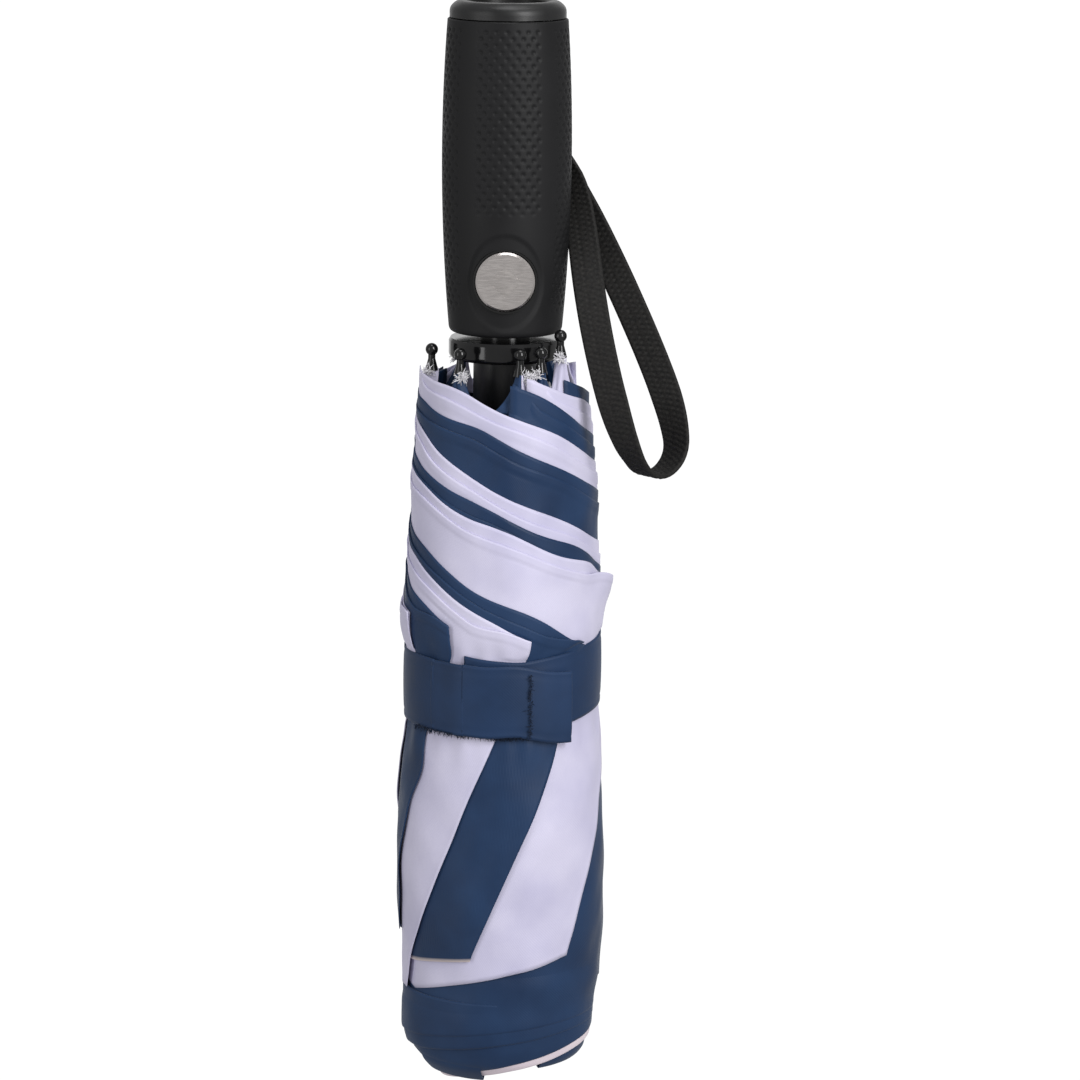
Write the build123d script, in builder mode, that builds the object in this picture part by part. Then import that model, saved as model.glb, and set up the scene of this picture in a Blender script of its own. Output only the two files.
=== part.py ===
"""Compact folding umbrella with automatic opening, closed, rolled and strapped, handle at the top.

Units are millimetres. The origin is on the shaft axis at the free end of the handle, +Z points out
of the handle's end, and the umbrella hangs down along -Z. The push button faces -Y.
"""
from build123d import *
import os
from math import cos, radians, sin, tan

# ---------------------------------------------------------------- driving dimensions
TOTAL_LENGTH = 286.0          # handle's end to crown cap
HANDLE_END_Z = -86.0          # lower end of the handle
CAP_HEIGHT = 4.3              # end cap above the grip
GRIP_R_TOP, GRIP_R_MID, GRIP_R_LOW = 15.6, 16.85, 14.9
GRIP_Z_TOP, GRIP_Z_MID, GRIP_Z_LOW = -4.6, -43.0, -84.0
GRIP_WALL = 2.2               # rubber thickness

BUTTON_Z = -71.0              # button centre
BUTTON_R = 7.65
BUTTON_FACE_Y = -16.5         # front face of the button at rest
BUTTON_SEAT_Y = -10.3         # floor of the button's well
BUTTON_WELL_R = BUTTON_R + 0.75
BUTTON_TOP_THICKNESS, BUTTON_HEIGHT = 1.2, 4.3
DISH_HALF_WIDTH, DISH_HALF_HEIGHT, DISH_DEPTH = 10.2, 13.2, 0.35

STRAP_PIN_AZ = 135.0          # wrist strap pin, measured from the front towards +X
STRAP_PIN_R = 12.2
STRAP_PIN_Z = -36.0
PIN_R = 1.0                   # the strap's pin and the pin through the tube's plug

TUBE_OUTER_R, TUBE_MIDDLE_R, TUBE_INNER_R = 6.5, 5.7, 4.9
TUBE_WALL = 0.5
TUBE_OUTER_TOP, TUBE_OUTER_END = -16.0, -250.0
TUBE_MIDDLE_TOP, TUBE_MIDDLE_END = -36.0, -256.0
TUBE_INNER_TOP, TUBE_INNER_END = -48.0, -269.0
RUNNING_GAP = 0.05            # radial clearance of the sliding bushes

RIB_COUNT = 8
RIB_PHASE = -2.0              # azimuth of the rib nearest the front
# Azimuth and height of each rib tip; the rolled cloth pulls the tips out of their even spacing.
RIB_TIPS = [(12, -89.5), (29, -89.2), (48, -85.3), (142, -90.5),
            (176, -90.0), (216, -90.0), (-80, -90.6), (-36, -90.0)]
CROWN_TOP, CROWN_BOTTOM = -258.0, -270.0
RUNNER_HUB_TOP, RUNNER_HUB_BOTTOM = -108.0, -116.0

CANOPY_CAVITY_R = 21.2
CANOPY_TOP = -99.0
BAND_TOP, BAND_BOTTOM = -170.0, -189.0
BAND_R = 25.6
BAND_THICKNESS = 0.9
PATCH_THICKNESS = 0.35
BODY_GAP = 0.3                # gap between the peeling tab and what it is pressed on
TAB_START_AZ, TAB_END_AZ = -25.0, 45.0

STRAP_CORD_R = 1.75           # a plain tube with the section area of the 8 x 1.2 webbing
# Wrist strap, from the pin down the outer leg, round the bottom fold and up the inner leg.
STRAP_TOP_Z, STRAP_HANG = -37.0, 0.973   # where the strap leaves the handle, and how far down its points hang
STRAP_ROUTE = [(x, y, STRAP_TOP_Z + STRAP_HANG * (z - STRAP_TOP_Z)) for x, y, z in [
    (8.6, 11.5, -37.0), (12.6, 13.2, -41.0), (17.0, 11.2, -49.0), (21.8, 8.2, -58.0),
    (27.0, 4.6, -68.6), (32.4, 0.6, -80.0), (37.6, -3.0, -91.6), (41.9, -5.4, -102.4),
    (44.4, -6.4, -111.0), (45.3, -7.4, -118.6), (41.7, -10.9, -123.8), (36.7, -15.9, -123.6),
    (33.3, -19.3, -118.2), (30.2, -18.9, -110.6), (27.4, -17.2, -101.5), (25.0, -14.6, -91.8),
    (22.9, -10.8, -81.8), (21.2, -5.6, -71.6), (19.9, 0.4, -61.4), (18.2, 6.4, -51.4),
    (15.3, 10.6, -42.6), (11.5, 8.6, -37.0),
]]
EYE_R = 2.4                   # stitched end of the strap, round its pin

os.makedirs("parts", exist_ok=True)


def around(azimuth, radius, z=0.0):
    """The point at an azimuth from the front (-Y), positive towards +X."""
    return Vector(radius * sin(radians(azimuth)), -radius * cos(radians(azimuth)), z)


def radial_plane(azimuth, radius=0.0, z=0.0):
    """Local x runs outward, local z up, at one azimuth."""
    outward = around(azimuth, 1.0)
    return Plane(origin=around(azimuth, radius, z), x_dir=outward, z_dir=(0, 0, 1))


def standing_plane(azimuth, radius=0.0, z=0.0):
    """Local x runs outward and local y up, at one azimuth."""
    outward = around(azimuth, 1.0)
    side = Vector(0, 0, 1).cross(outward)
    return Plane(origin=around(azimuth, radius, z), x_dir=outward, z_dir=-side)


def tangent_plane(azimuth, radius=0.0, z=0.0):
    """Local z points along the tangent, for pins that cross a rib."""
    outward = around(azimuth, 1.0)
    side = Vector(0, 0, 1).cross(outward)
    return Plane(origin=around(azimuth, radius, z), x_dir=outward, z_dir=side)


def rib_azimuth(index):
    return RIB_PHASE + 360.0 / RIB_COUNT * index


def save(builder, name):
    builder.part.label = name
    export_step(builder.part, f"parts/{name}.step")


def tube(outer, inner, top, bottom, name):
    with BuildPart() as part:
        with BuildSketch(Plane.XY.offset(bottom)):
            Circle(outer)
            Circle(inner, mode=Mode.SUBTRACT)
        extrude(amount=top - bottom)
    save(part, name)


def barrel(inset, z_top, z_bottom):
    """Solid barrel of the grip's outline, drawn in by inset and cut at two heights."""
    with BuildPart() as part:
        with BuildSketch(Plane.XZ):
            with BuildLine():
                ThreePointArc((GRIP_R_TOP - inset, GRIP_Z_TOP), (GRIP_R_MID - inset, GRIP_Z_MID),
                              (GRIP_R_LOW - inset, GRIP_Z_LOW))
                Polyline((GRIP_R_LOW - inset, GRIP_Z_LOW), (GRIP_R_LOW - inset - 0.1, HANDLE_END_Z),
                         (0, HANDLE_END_Z), (0, GRIP_Z_TOP), (GRIP_R_TOP - inset, GRIP_Z_TOP))
            make_face()
        revolve(axis=Axis.Z)
        split(bisect_by=Plane.XY.offset(z_top), keep=Keep.BOTTOM)
        split(bisect_by=Plane.XY.offset(z_bottom), keep=Keep.TOP)
    return part.part


# ---------------------------------------------------------------- handle
CORE_TOP, CORE_BOTTOM = -5.0, -84.6
COUNTERBORE_R, COUNTERBORE_Z, CAP_BOSS_R = 9.0, -12.4, 3.4
SCREW_HOLE_R, SCREW_HOLE_Z = 1.1, -14.5
POCKET_WIDTH, POCKET_TOP, POCKET_BOTTOM, POCKET_FLOOR_R = 11.0, -27.5, -45.0, 9.3
ROCKER_PIN_Z, ROCKER_PIN_Y, ROCKER_PIN_R = -78.0, -9.3, 0.6
ROCKER_FRONT_Y, ROCKER_BACK_Y = -9.9, -8.7
PLUG_PIN_Z = -26.0


def cut_strap_pocket():
    """The recess in the handle that the strap's stitched end swings in."""
    with BuildSketch(radial_plane(STRAP_PIN_AZ, 0, POCKET_BOTTOM)) as mouth:
        with Locations(((POCKET_FLOOR_R + 20) / 2, 0)):
            Rectangle(20 - POCKET_FLOOR_R, POCKET_WIDTH)
    extrude(mouth.sketch, amount=POCKET_TOP - POCKET_BOTTOM, mode=Mode.SUBTRACT)


with BuildPart() as handle_core:
    add(barrel(GRIP_WALL, CORE_TOP, CORE_BOTTOM))
    with BuildSketch(Plane.XY.offset(CORE_BOTTOM)):
        Circle(TUBE_OUTER_R)
    extrude(amount=TUBE_OUTER_TOP - CORE_BOTTOM, mode=Mode.SUBTRACT)
    with BuildSketch(Plane.XY.offset(COUNTERBORE_Z)):
        Circle(COUNTERBORE_R)
        Circle(CAP_BOSS_R, mode=Mode.SUBTRACT)
    extrude(amount=-COUNTERBORE_Z, mode=Mode.SUBTRACT)
    with BuildSketch(Plane.XY.offset(SCREW_HOLE_Z)):
        Circle(SCREW_HOLE_R)
    extrude(amount=-SCREW_HOLE_Z, mode=Mode.SUBTRACT)
    with BuildSketch(Plane.XZ.offset(-BUTTON_SEAT_Y)):
        with Locations((0, BUTTON_Z)):
            Circle(BUTTON_WELL_R)
    extrude(amount=12, mode=Mode.SUBTRACT)
    with BuildSketch(Plane.XY.offset(CORE_BOTTOM)):
        with Locations((0, -9.0)):
            Rectangle(4.0, 5.6)
    extrude(amount=-66.0 - CORE_BOTTOM, mode=Mode.SUBTRACT)
    with BuildSketch(Plane.YZ):
        with Locations((0, PLUG_PIN_Z)):
            Circle(PIN_R)
    extrude(amount=12.5, both=True, mode=Mode.SUBTRACT)
    with BuildSketch(Plane.YZ):
        with Locations((ROCKER_PIN_Y, ROCKER_PIN_Z)):
            Circle(ROCKER_PIN_R)
    extrude(amount=4.6, both=True, mode=Mode.SUBTRACT)
    cut_strap_pocket()
    with BuildSketch(tangent_plane(STRAP_PIN_AZ, STRAP_PIN_R, STRAP_PIN_Z)):
        Circle(PIN_R)
    extrude(amount=6.3, both=True, mode=Mode.SUBTRACT)
save(handle_core, "handle_core")

with BuildPart() as button_dish:
    add(barrel(-0.5, GRIP_Z_TOP, HANDLE_END_Z))
    add(barrel(DISH_DEPTH, GRIP_Z_TOP, HANDLE_END_Z), mode=Mode.SUBTRACT)
    with BuildSketch(Plane.XZ.offset(5)):
        with Locations((0, BUTTON_Z - 0.5)):
            Ellipse(DISH_HALF_WIDTH, DISH_HALF_HEIGHT)
    extrude(amount=20, mode=Mode.INTERSECT)

with BuildPart() as grip_sleeve:
    add(barrel(0, GRIP_Z_TOP, HANDLE_END_Z))
    fillet(grip_sleeve.edges().group_by(Axis.Z)[0], 1.2)
    add(barrel(GRIP_WALL, 0, CORE_BOTTOM), mode=Mode.SUBTRACT)
    with BuildSketch(Plane.XY.offset(HANDLE_END_Z)):
        Circle(11.5)
    extrude(amount=4, mode=Mode.SUBTRACT)
    add(button_dish.part, mode=Mode.SUBTRACT)
    with BuildSketch(Plane.XZ.offset(-BUTTON_SEAT_Y)):
        with Locations((0, BUTTON_Z)):
            Circle(BUTTON_WELL_R)
    extrude(amount=12, mode=Mode.SUBTRACT)
    cut_strap_pocket()
save(grip_sleeve, "grip_sleeve")

with BuildPart() as handle_cap:
    with BuildSketch(Plane.XZ):
        with BuildLine():
            Polyline((15.1, -CAP_HEIGHT), (15.1, -3.0))
            Spline((15.1, -3.0), (14.0, -0.8), (12.0, 0.0), tangents=((0, 1), (-1, 0)))
            Polyline((12.0, 0.0), (11.2, 0.0), (10.6, -0.6), (10.6, -2.6), (2.6, -2.6), (2.6, -3.6),
                     (1.4, -3.6), (1.4, -5.0), (7.4, -5.0), (7.4, -10.0), (8.9, -10.0),
                     (8.9, -CAP_HEIGHT), (15.1, -CAP_HEIGHT))
        make_face()
    revolve(axis=Axis.Z)
save(handle_cap, "handle_cap")

with BuildPart() as cap_disc:
    with BuildSketch(Plane.XY.offset(-2.6)):
        Circle(10.45)
    extrude(amount=1.2)
    fillet(cap_disc.edges().group_by(Axis.Z)[-1], 0.3)
save(cap_disc, "cap_disc")

with BuildPart() as cap_screw:
    with BuildSketch(Plane.XY.offset(-3.55)):
        Circle(2.4)
    extrude(amount=0.9)
    with BuildSketch(Plane.XY.offset(-14.0)):
        Circle(1.05)
    extrude(amount=10.5)
    with BuildSketch(Plane.XY.offset(-2.65)):
        Rectangle(3.0, 0.6)
        Rectangle(0.6, 3.0)
    extrude(amount=-0.5, mode=Mode.SUBTRACT)
save(cap_screw, "cap_screw")

with BuildPart() as button_bezel:
    with BuildSketch(Plane.XZ.offset(11.6)):
        with Locations((0, BUTTON_Z)):
            Circle(BUTTON_R + 0.7)
            Circle(BUTTON_R + 0.2, mode=Mode.SUBTRACT)
    extrude(amount=4.1)
save(button_bezel, "button_bezel")

with BuildPart() as button:
    with BuildSketch(Plane.XZ.offset(-BUTTON_FACE_Y)):
        with Locations((0, BUTTON_Z)):
            Circle(BUTTON_R)
    extrude(amount=-BUTTON_HEIGHT)
    chamfer(button.faces().sort_by(Axis.Y)[0].edges(), 0.5)
    with BuildSketch(Plane.XZ.offset(-BUTTON_FACE_Y - BUTTON_HEIGHT)):
        with Locations((0, BUTTON_Z)):
            Circle(BUTTON_R - 1.3)
    extrude(amount=BUTTON_HEIGHT - BUTTON_TOP_THICKNESS, mode=Mode.SUBTRACT)
    with BuildSketch(Plane.XZ.offset(-BUTTON_FACE_Y - BUTTON_TOP_THICKNESS)):
        with Locations((0, BUTTON_Z)):
            Circle(2.0)
    extrude(amount=-3.8)
    with BuildSketch(Plane.XZ.offset(-BUTTON_FACE_Y - 5.0)):
        with Locations((0, BUTTON_Z)):
            Circle(0.6)
    extrude(amount=-1.5)
    with BuildSketch(Plane.XZ.offset(-BUTTON_FACE_Y)):
        for side in (1, -1):
            Polygon((-3.6 * side, BUTTON_Z + side * 0.8), (3.6 * side, BUTTON_Z + side * 0.8),
                    (0, BUTTON_Z + side * 3.9), align=None)
    extrude(amount=-0.12, mode=Mode.SUBTRACT)
save(button, "button")

with BuildPart() as button_spring:
    with BuildLine():
        coil = Helix(pitch=1.25, height=4.2, radius=3.6, center=(0, BUTTON_SEAT_Y - 0.36, BUTTON_Z),
                     direction=(0, -1, 0))
    with BuildSketch(Plane(origin=coil @ 0, z_dir=coil % 0)):
        Circle(0.32)
    sweep(path=coil)
save(button_spring, "button_spring")

with BuildPart() as latch_rocker:
    with BuildSketch(Plane.YZ):
        Polygon((ROCKER_FRONT_Y, -68.5), (ROCKER_FRONT_Y, -84.0), (-6.15, -84.0), (-6.15, -82.6),
                (ROCKER_BACK_Y, -82.6), (ROCKER_BACK_Y, -68.5), align=None)
    extrude(amount=1.5, both=True)
    with BuildSketch(Plane.YZ):
        with Locations((ROCKER_PIN_Y, ROCKER_PIN_Z)):
            Circle(1.15)
    extrude(amount=1.5, both=True)
    with BuildSketch(Plane.YZ):
        with Locations((ROCKER_PIN_Y, ROCKER_PIN_Z)):
            Circle(ROCKER_PIN_R + RUNNING_GAP)
    extrude(amount=2, both=True, mode=Mode.SUBTRACT)
save(latch_rocker, "latch_rocker")

with BuildPart() as latch_pin:
    with BuildSketch(Plane.YZ):
        with Locations((ROCKER_PIN_Y, ROCKER_PIN_Z)):
            Circle(ROCKER_PIN_R)
    extrude(amount=4.5, both=True)
save(latch_pin, "latch_pin")

with BuildPart() as tube_pin:
    with BuildSketch(Plane.YZ):
        with Locations((0, PLUG_PIN_Z)):
            Circle(PIN_R)
    extrude(amount=12.4, both=True)
save(tube_pin, "tube_pin")

with BuildPart() as tube_plug:
    with BuildSketch(Plane.XY.offset(-32.0)):
        Circle(TUBE_OUTER_R - TUBE_WALL)
    extrude(amount=14.0)
    with BuildSketch(Plane.YZ):
        with Locations((0, PLUG_PIN_Z)):
            Circle(PIN_R)
    extrude(amount=8, both=True, mode=Mode.SUBTRACT)
save(tube_plug, "tube_plug")

with BuildPart() as strap_pin:
    with BuildSketch(tangent_plane(STRAP_PIN_AZ, STRAP_PIN_R, STRAP_PIN_Z)):
        Circle(PIN_R)
    extrude(amount=6.2, both=True)
save(strap_pin, "strap_pin")

# ---------------------------------------------------------------- telescopic shaft
with BuildPart() as tube_outer:
    with BuildSketch(Plane.XY.offset(TUBE_OUTER_END)):
        Circle(TUBE_OUTER_R)
        Circle(TUBE_OUTER_R - TUBE_WALL, mode=Mode.SUBTRACT)
    extrude(amount=TUBE_OUTER_TOP - TUBE_OUTER_END)
    with BuildSketch(Plane.YZ):
        with Locations((0, PLUG_PIN_Z)):
            Circle(PIN_R)
    extrude(amount=8, both=True, mode=Mode.SUBTRACT)
    with BuildSketch(Plane.XZ.offset(TUBE_OUTER_R - 2)):
        with Locations((0, -83.0)):
            Rectangle(3.8, 5.0)
    extrude(amount=4, mode=Mode.SUBTRACT)
save(tube_outer, "tube_outer")

tube(TUBE_MIDDLE_R, TUBE_MIDDLE_R - TUBE_WALL, TUBE_MIDDLE_TOP, TUBE_MIDDLE_END, "tube_middle")
tube(TUBE_INNER_R, TUBE_INNER_R - TUBE_WALL, TUBE_INNER_TOP, TUBE_INNER_END, "tube_inner")
tube(TUBE_OUTER_R - TUBE_WALL, TUBE_MIDDLE_R + RUNNING_GAP, TUBE_OUTER_END + 6, TUBE_OUTER_END,
     "tube_outer_bush")
tube(TUBE_MIDDLE_R - TUBE_WALL, TUBE_INNER_R + RUNNING_GAP, TUBE_MIDDLE_END + 6, TUBE_MIDDLE_END,
     "tube_middle_bush")
tube(TUBE_OUTER_R - TUBE_WALL - RUNNING_GAP, TUBE_MIDDLE_R, TUBE_MIDDLE_TOP, TUBE_MIDDLE_TOP - 10,
     "tube_middle_guide")
tube(TUBE_MIDDLE_R - TUBE_WALL - RUNNING_GAP, TUBE_INNER_R, TUBE_INNER_TOP, TUBE_INNER_TOP - 10,
     "tube_inner_guide")

SPRING_R, SPRING_WIRE_R = 3.4, 0.5
SPRING_FOOT_Z, SPRING_LENGTH = -172.0, 138.0
with BuildPart() as opening_spring:
    with BuildLine(Plane.XY.offset(SPRING_FOOT_Z)):
        long_coil = Helix(pitch=9.2, height=SPRING_LENGTH, radius=SPRING_R)
    with BuildSketch(Plane(origin=long_coil @ 0, z_dir=long_coil % 0)):
        Circle(SPRING_WIRE_R)
    sweep(path=long_coil)
save(opening_spring, "opening_spring")

# ---------------------------------------------------------------- crown
HUB_WIRE_R = 0.5              # the ring wires that the ribs and stretchers turn on
CROWN_WIRE_R, CROWN_WIRE_Z = 9.3, -263.0
with BuildPart() as crown:
    with BuildSketch(Plane.XZ):
        Polygon((TUBE_INNER_R, CROWN_TOP), (8.0, CROWN_TOP), (11.0, CROWN_TOP - 2), (11.0, -267.0),
                (8.6, CROWN_BOTTOM), (TUBE_INNER_R, CROWN_BOTTOM), align=None)
    revolve(axis=Axis.Z)
    with BuildSketch(Plane.XZ):
        with Locations((CROWN_WIRE_R + 1.0, CROWN_WIRE_Z)):
            Rectangle(3.4, 1.8)
    revolve(axis=Axis.Z, mode=Mode.SUBTRACT)
    for rib in range(RIB_COUNT):
        with BuildSketch(radial_plane(rib_azimuth(rib), 0, -265.5)):
            with Locations((10.0, 0)):
                Rectangle(5.2, 1.9)
        extrude(amount=8, mode=Mode.SUBTRACT)
save(crown, "crown")

with BuildPart() as crown_wire:
    with BuildSketch(Plane.XZ):
        with Locations((CROWN_WIRE_R, CROWN_WIRE_Z)):
            Circle(HUB_WIRE_R)
    revolve(axis=Axis.Z)
save(crown_wire, "crown_wire")

with BuildPart() as crown_cap:
    with BuildSketch(Plane.XZ):
        with BuildLine():
            Polyline((0, -272.0), (0, -TOTAL_LENGTH))
            ThreePointArc((0, -TOTAL_LENGTH), (4.6, -TOTAL_LENGTH + 1.4), (6.4, -TOTAL_LENGTH + 4.0))
            Polyline((6.4, -TOTAL_LENGTH + 4.0), (3.9, -TOTAL_LENGTH + 4.0), (3.9, -272.0), (0, -272.0))
        make_face()
    revolve(axis=Axis.Z)
    with BuildSketch(Plane.XY.offset(-272.0)):
        Circle(TUBE_INNER_R - TUBE_WALL)
    extrude(amount=12)
save(crown_cap, "crown_cap")

tube(8.4, 4.6, -270.1, -270.9, "crown_washer")

# ---------------------------------------------------------------- runner
RUNNER_BORE_R, RUNNER_SLEEVE_R = TUBE_OUTER_R + 0.1, 8.3
RUNNER_WIRE_R, RUNNER_WIRE_Z = 12.6, -112.0
RUNNER_HUB_R, RUNNER_TOP, RUNNER_END = 14.6, -93.0, -122.0
with BuildPart() as runner:
    with BuildSketch(Plane.XZ):
        Polygon((RUNNER_BORE_R, RUNNER_TOP), (RUNNER_SLEEVE_R, RUNNER_TOP),
                (RUNNER_SLEEVE_R, RUNNER_HUB_TOP + 1.5), (RUNNER_HUB_R, RUNNER_HUB_TOP),
                (RUNNER_HUB_R, RUNNER_HUB_BOTTOM), (RUNNER_SLEEVE_R, RUNNER_HUB_BOTTOM - 1.5),
                (RUNNER_SLEEVE_R, RUNNER_END), (RUNNER_BORE_R, RUNNER_END), align=None)
    revolve(axis=Axis.Z)
    with BuildSketch(Plane.XZ):
        with Locations((RUNNER_WIRE_R + 1.0, RUNNER_WIRE_Z)):
            Rectangle(3.4, 1.8)
    revolve(axis=Axis.Z, mode=Mode.SUBTRACT)
    for rib in range(RIB_COUNT):
        with BuildSketch(radial_plane(rib_azimuth(rib), 0, -118.0)):
            with Locations((13.2, 0)):
                Rectangle(4.4, 1.9)
        extrude(amount=8.5, mode=Mode.SUBTRACT)
save(runner, "runner")

with BuildPart() as runner_wire:
    with BuildSketch(Plane.XZ):
        with Locations((RUNNER_WIRE_R, RUNNER_WIRE_Z)):
            Circle(HUB_WIRE_R)
    revolve(axis=Axis.Z)
save(runner_wire, "runner_wire")

BELL_R, BELL_TOP = 14.8, -87.6
with BuildPart() as runner_bell:
    with BuildSketch(Plane.XZ):
        with BuildLine():
            Polyline((RUNNER_BORE_R, BELL_TOP), (14.3, BELL_TOP), (BELL_R, -88.4), (BELL_R, -91.6))
            ThreePointArc((BELL_R, -91.6), (14.4, -92.6), (13.4, RUNNER_TOP))
            Polyline((13.4, RUNNER_TOP), (RUNNER_BORE_R, RUNNER_TOP), (RUNNER_BORE_R, BELL_TOP))
        make_face()
    revolve(axis=Axis.Z)
save(runner_bell, "runner_bell")

# ---------------------------------------------------------------- rib frame, folded
TOP_RIB_R, STRETCHER_R, MIDDLE_RIB_R, OUTER_RIB_R = 10.0, 13.4, 16.3, 19.4
RIB_WIDTH, RIB_DEPTH, RIB_SHEET = 3.0, 1.9, 0.4
RIVET_R, RIVET_HOLE_R = 0.5, 0.55
ROD_R, ROD_SOCKET_R = 0.9, 1.0
HINGE_Z, STRETCHER_END_Z, ELBOW_Z = -121.0, -192.0, -250.0


def channel(azimuth, radius, top, bottom, width, depth):
    """A folded sheet channel that opens outward."""
    with BuildSketch(radial_plane(azimuth, 0, bottom)) as section:
        with Locations((radius, 0)):
            Rectangle(depth, width)
        with Locations((radius + RIB_SHEET, 0)):
            Rectangle(depth, width - 2 * RIB_SHEET, mode=Mode.SUBTRACT)
    extrude(section.sketch, amount=top - bottom)


def eyelet(azimuth, radius, pin_z, reach):
    """A flat tongue with a hole, from a channel's end to the hub's wire."""
    with BuildSketch(standing_plane(azimuth)) as tongue:
        with Locations((radius, pin_z + reach / 2)):
            Rectangle(2.2, abs(reach) + 2.2)
        with Locations((radius, pin_z)):
            Circle(HUB_WIRE_R + 0.1, mode=Mode.SUBTRACT)
    extrude(tongue.sketch, amount=0.6, both=True)


def cross_holes(azimuth, radius, z, hole_r, half_width):
    with BuildSketch(tangent_plane(azimuth, radius, z)) as hole:
        Circle(hole_r)
    extrude(hole.sketch, amount=half_width, both=True, mode=Mode.SUBTRACT)


with BuildPart() as top_ribs:
    for rib in range(RIB_COUNT):
        angle = rib_azimuth(rib)
        channel(angle, TOP_RIB_R, HINGE_Z + 1.5, -255.0, RIB_WIDTH, RIB_DEPTH)
        eyelet(angle, CROWN_WIRE_R, CROWN_WIRE_Z, 8.6)
        cross_holes(angle, TOP_RIB_R, HINGE_Z, RIVET_HOLE_R, 3)
        cross_holes(angle, TOP_RIB_R, STRETCHER_END_Z, RIVET_HOLE_R, 3)
save(top_ribs, "top_ribs")

with BuildPart() as stretchers:
    for rib in range(RIB_COUNT):
        angle = rib_azimuth(rib)
        channel(angle, STRETCHER_R, -120.0, STRETCHER_END_Z - 1.5, 2.6, RIB_DEPTH)
        eyelet(angle, RUNNER_WIRE_R, RUNNER_WIRE_Z, -8.6)
        for side in (1.9, -1.9):
            with BuildSketch(radial_plane(angle, 0, STRETCHER_END_Z - 2.5)):
                with Locations(((STRETCHER_R + TOP_RIB_R) / 2, side)):
                    Rectangle(STRETCHER_R - TOP_RIB_R + RIB_DEPTH, 0.5)
                with Locations((STRETCHER_R - RIB_DEPTH / 2 + 0.2, side * 0.79)):
                    Rectangle(0.4, 0.9)
            extrude(amount=5)
        cross_holes(angle, TOP_RIB_R, STRETCHER_END_Z, RIVET_HOLE_R, 3)
save(stretchers, "stretchers")

with BuildPart() as stretcher_rivets:
    for rib in range(RIB_COUNT):
        with BuildSketch(tangent_plane(rib_azimuth(rib), TOP_RIB_R, STRETCHER_END_Z)):
            Circle(RIVET_R)
        extrude(amount=2.4, both=True)
save(stretcher_rivets, "stretcher_rivets")

with BuildPart() as middle_ribs:
    for rib in range(RIB_COUNT):
        angle = rib_azimuth(rib)
        channel(angle, MIDDLE_RIB_R, HINGE_Z + 1.5, ELBOW_Z - 2, RIB_WIDTH, RIB_DEPTH)
        cross_holes(angle, MIDDLE_RIB_R, HINGE_Z, RIVET_HOLE_R, 3)
save(middle_ribs, "middle_ribs")

with BuildPart() as rib_hinges:
    for rib in range(RIB_COUNT):
        angle = rib_azimuth(rib)
        for side in (1.9, -1.9):
            with BuildSketch(radial_plane(angle, 0, HINGE_Z - 2)):
                with Locations(((TOP_RIB_R + MIDDLE_RIB_R) / 2, side)):
                    Rectangle(MIDDLE_RIB_R - TOP_RIB_R + RIB_DEPTH, 0.6)
            extrude(amount=4)
        for radius in (TOP_RIB_R, MIDDLE_RIB_R):
            with BuildSketch(tangent_plane(angle, radius, HINGE_Z)):
                Circle(RIVET_R)
            extrude(amount=1.9, both=True)
save(rib_hinges, "rib_hinges")

with BuildPart() as elbow_joints:
    for rib in range(RIB_COUNT):
        angle = rib_azimuth(rib)
        with BuildSketch(radial_plane(angle, 0, ELBOW_Z - 5)):
            with Locations((17.85, 0)):
                RectangleRounded(5.5, 4.4, 0.6)
        extrude(amount=11)
        with BuildSketch(radial_plane(angle, 0, ELBOW_Z - 2)):
            with Locations((MIDDLE_RIB_R, 0)):
                Rectangle(RIB_DEPTH + 0.1, RIB_WIDTH + 0.1)
            with Locations((OUTER_RIB_R, 0)):
                Circle(ROD_SOCKET_R)
        extrude(amount=12, mode=Mode.SUBTRACT)
save(elbow_joints, "elbow_joints")


def route_radii(points):
    """As large an arc at each corner as its two runs allow."""
    radii = []
    for before, corner, after in zip(points, points[1:], points[2:]):
        run_in, run_out = Vector(*corner) - Vector(*before), Vector(*after) - Vector(*corner)
        turn = radians(run_in.get_angle(run_out))
        radii.append(0.45 * min(run_in.length, run_out.length) / tan(turn / 2))
    return radii


def outer_rib_route(rib):
    """A rod that leaves its elbow upright, leans round the roll and ends upright in its tip."""
    start, (finish, tip_z) = rib_azimuth(rib), RIB_TIPS[rib]
    lean = (finish - start + 180) % 360 - 180
    foot, head = ELBOW_Z - 2, tip_z - 5.5
    return [around(start, OUTER_RIB_R, foot), around(start, OUTER_RIB_R, foot + 18),
            around(start + lean / 2, OUTER_RIB_R, (foot + head) / 2),
            around(start + lean, OUTER_RIB_R, head - 14), around(start + lean, OUTER_RIB_R, head)]


with BuildPart() as outer_ribs:
    for rib in range(RIB_COUNT):
        corners = outer_rib_route(rib)
        with BuildLine():
            rod = FilletPolyline(*corners, radius=route_radii(corners))
        with BuildSketch(Plane(origin=corners[0], z_dir=(0, 0, 1))):
            Circle(ROD_R)
        sweep(path=rod)
save(outer_ribs, "outer_ribs")

with BuildPart() as rib_tips:
    for finish, tip_z in RIB_TIPS:
        with BuildPart(mode=Mode.PRIVATE) as tip:
            with BuildSketch(Plane.XZ):
                with BuildLine():
                    ThreePointArc((0, 1.65), (1.65, 0), (0.95, -1.35))
                    Polyline((0.95, -1.35), (0.95, -2.4), (1.75, -5.5), (0, -5.5), (0, 1.65))
                make_face()
            revolve(axis=Axis.Z)
        with Locations(around(finish, OUTER_RIB_R, tip_z)):
            add(tip.part)
save(rib_tips, "rib_tips")

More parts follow.
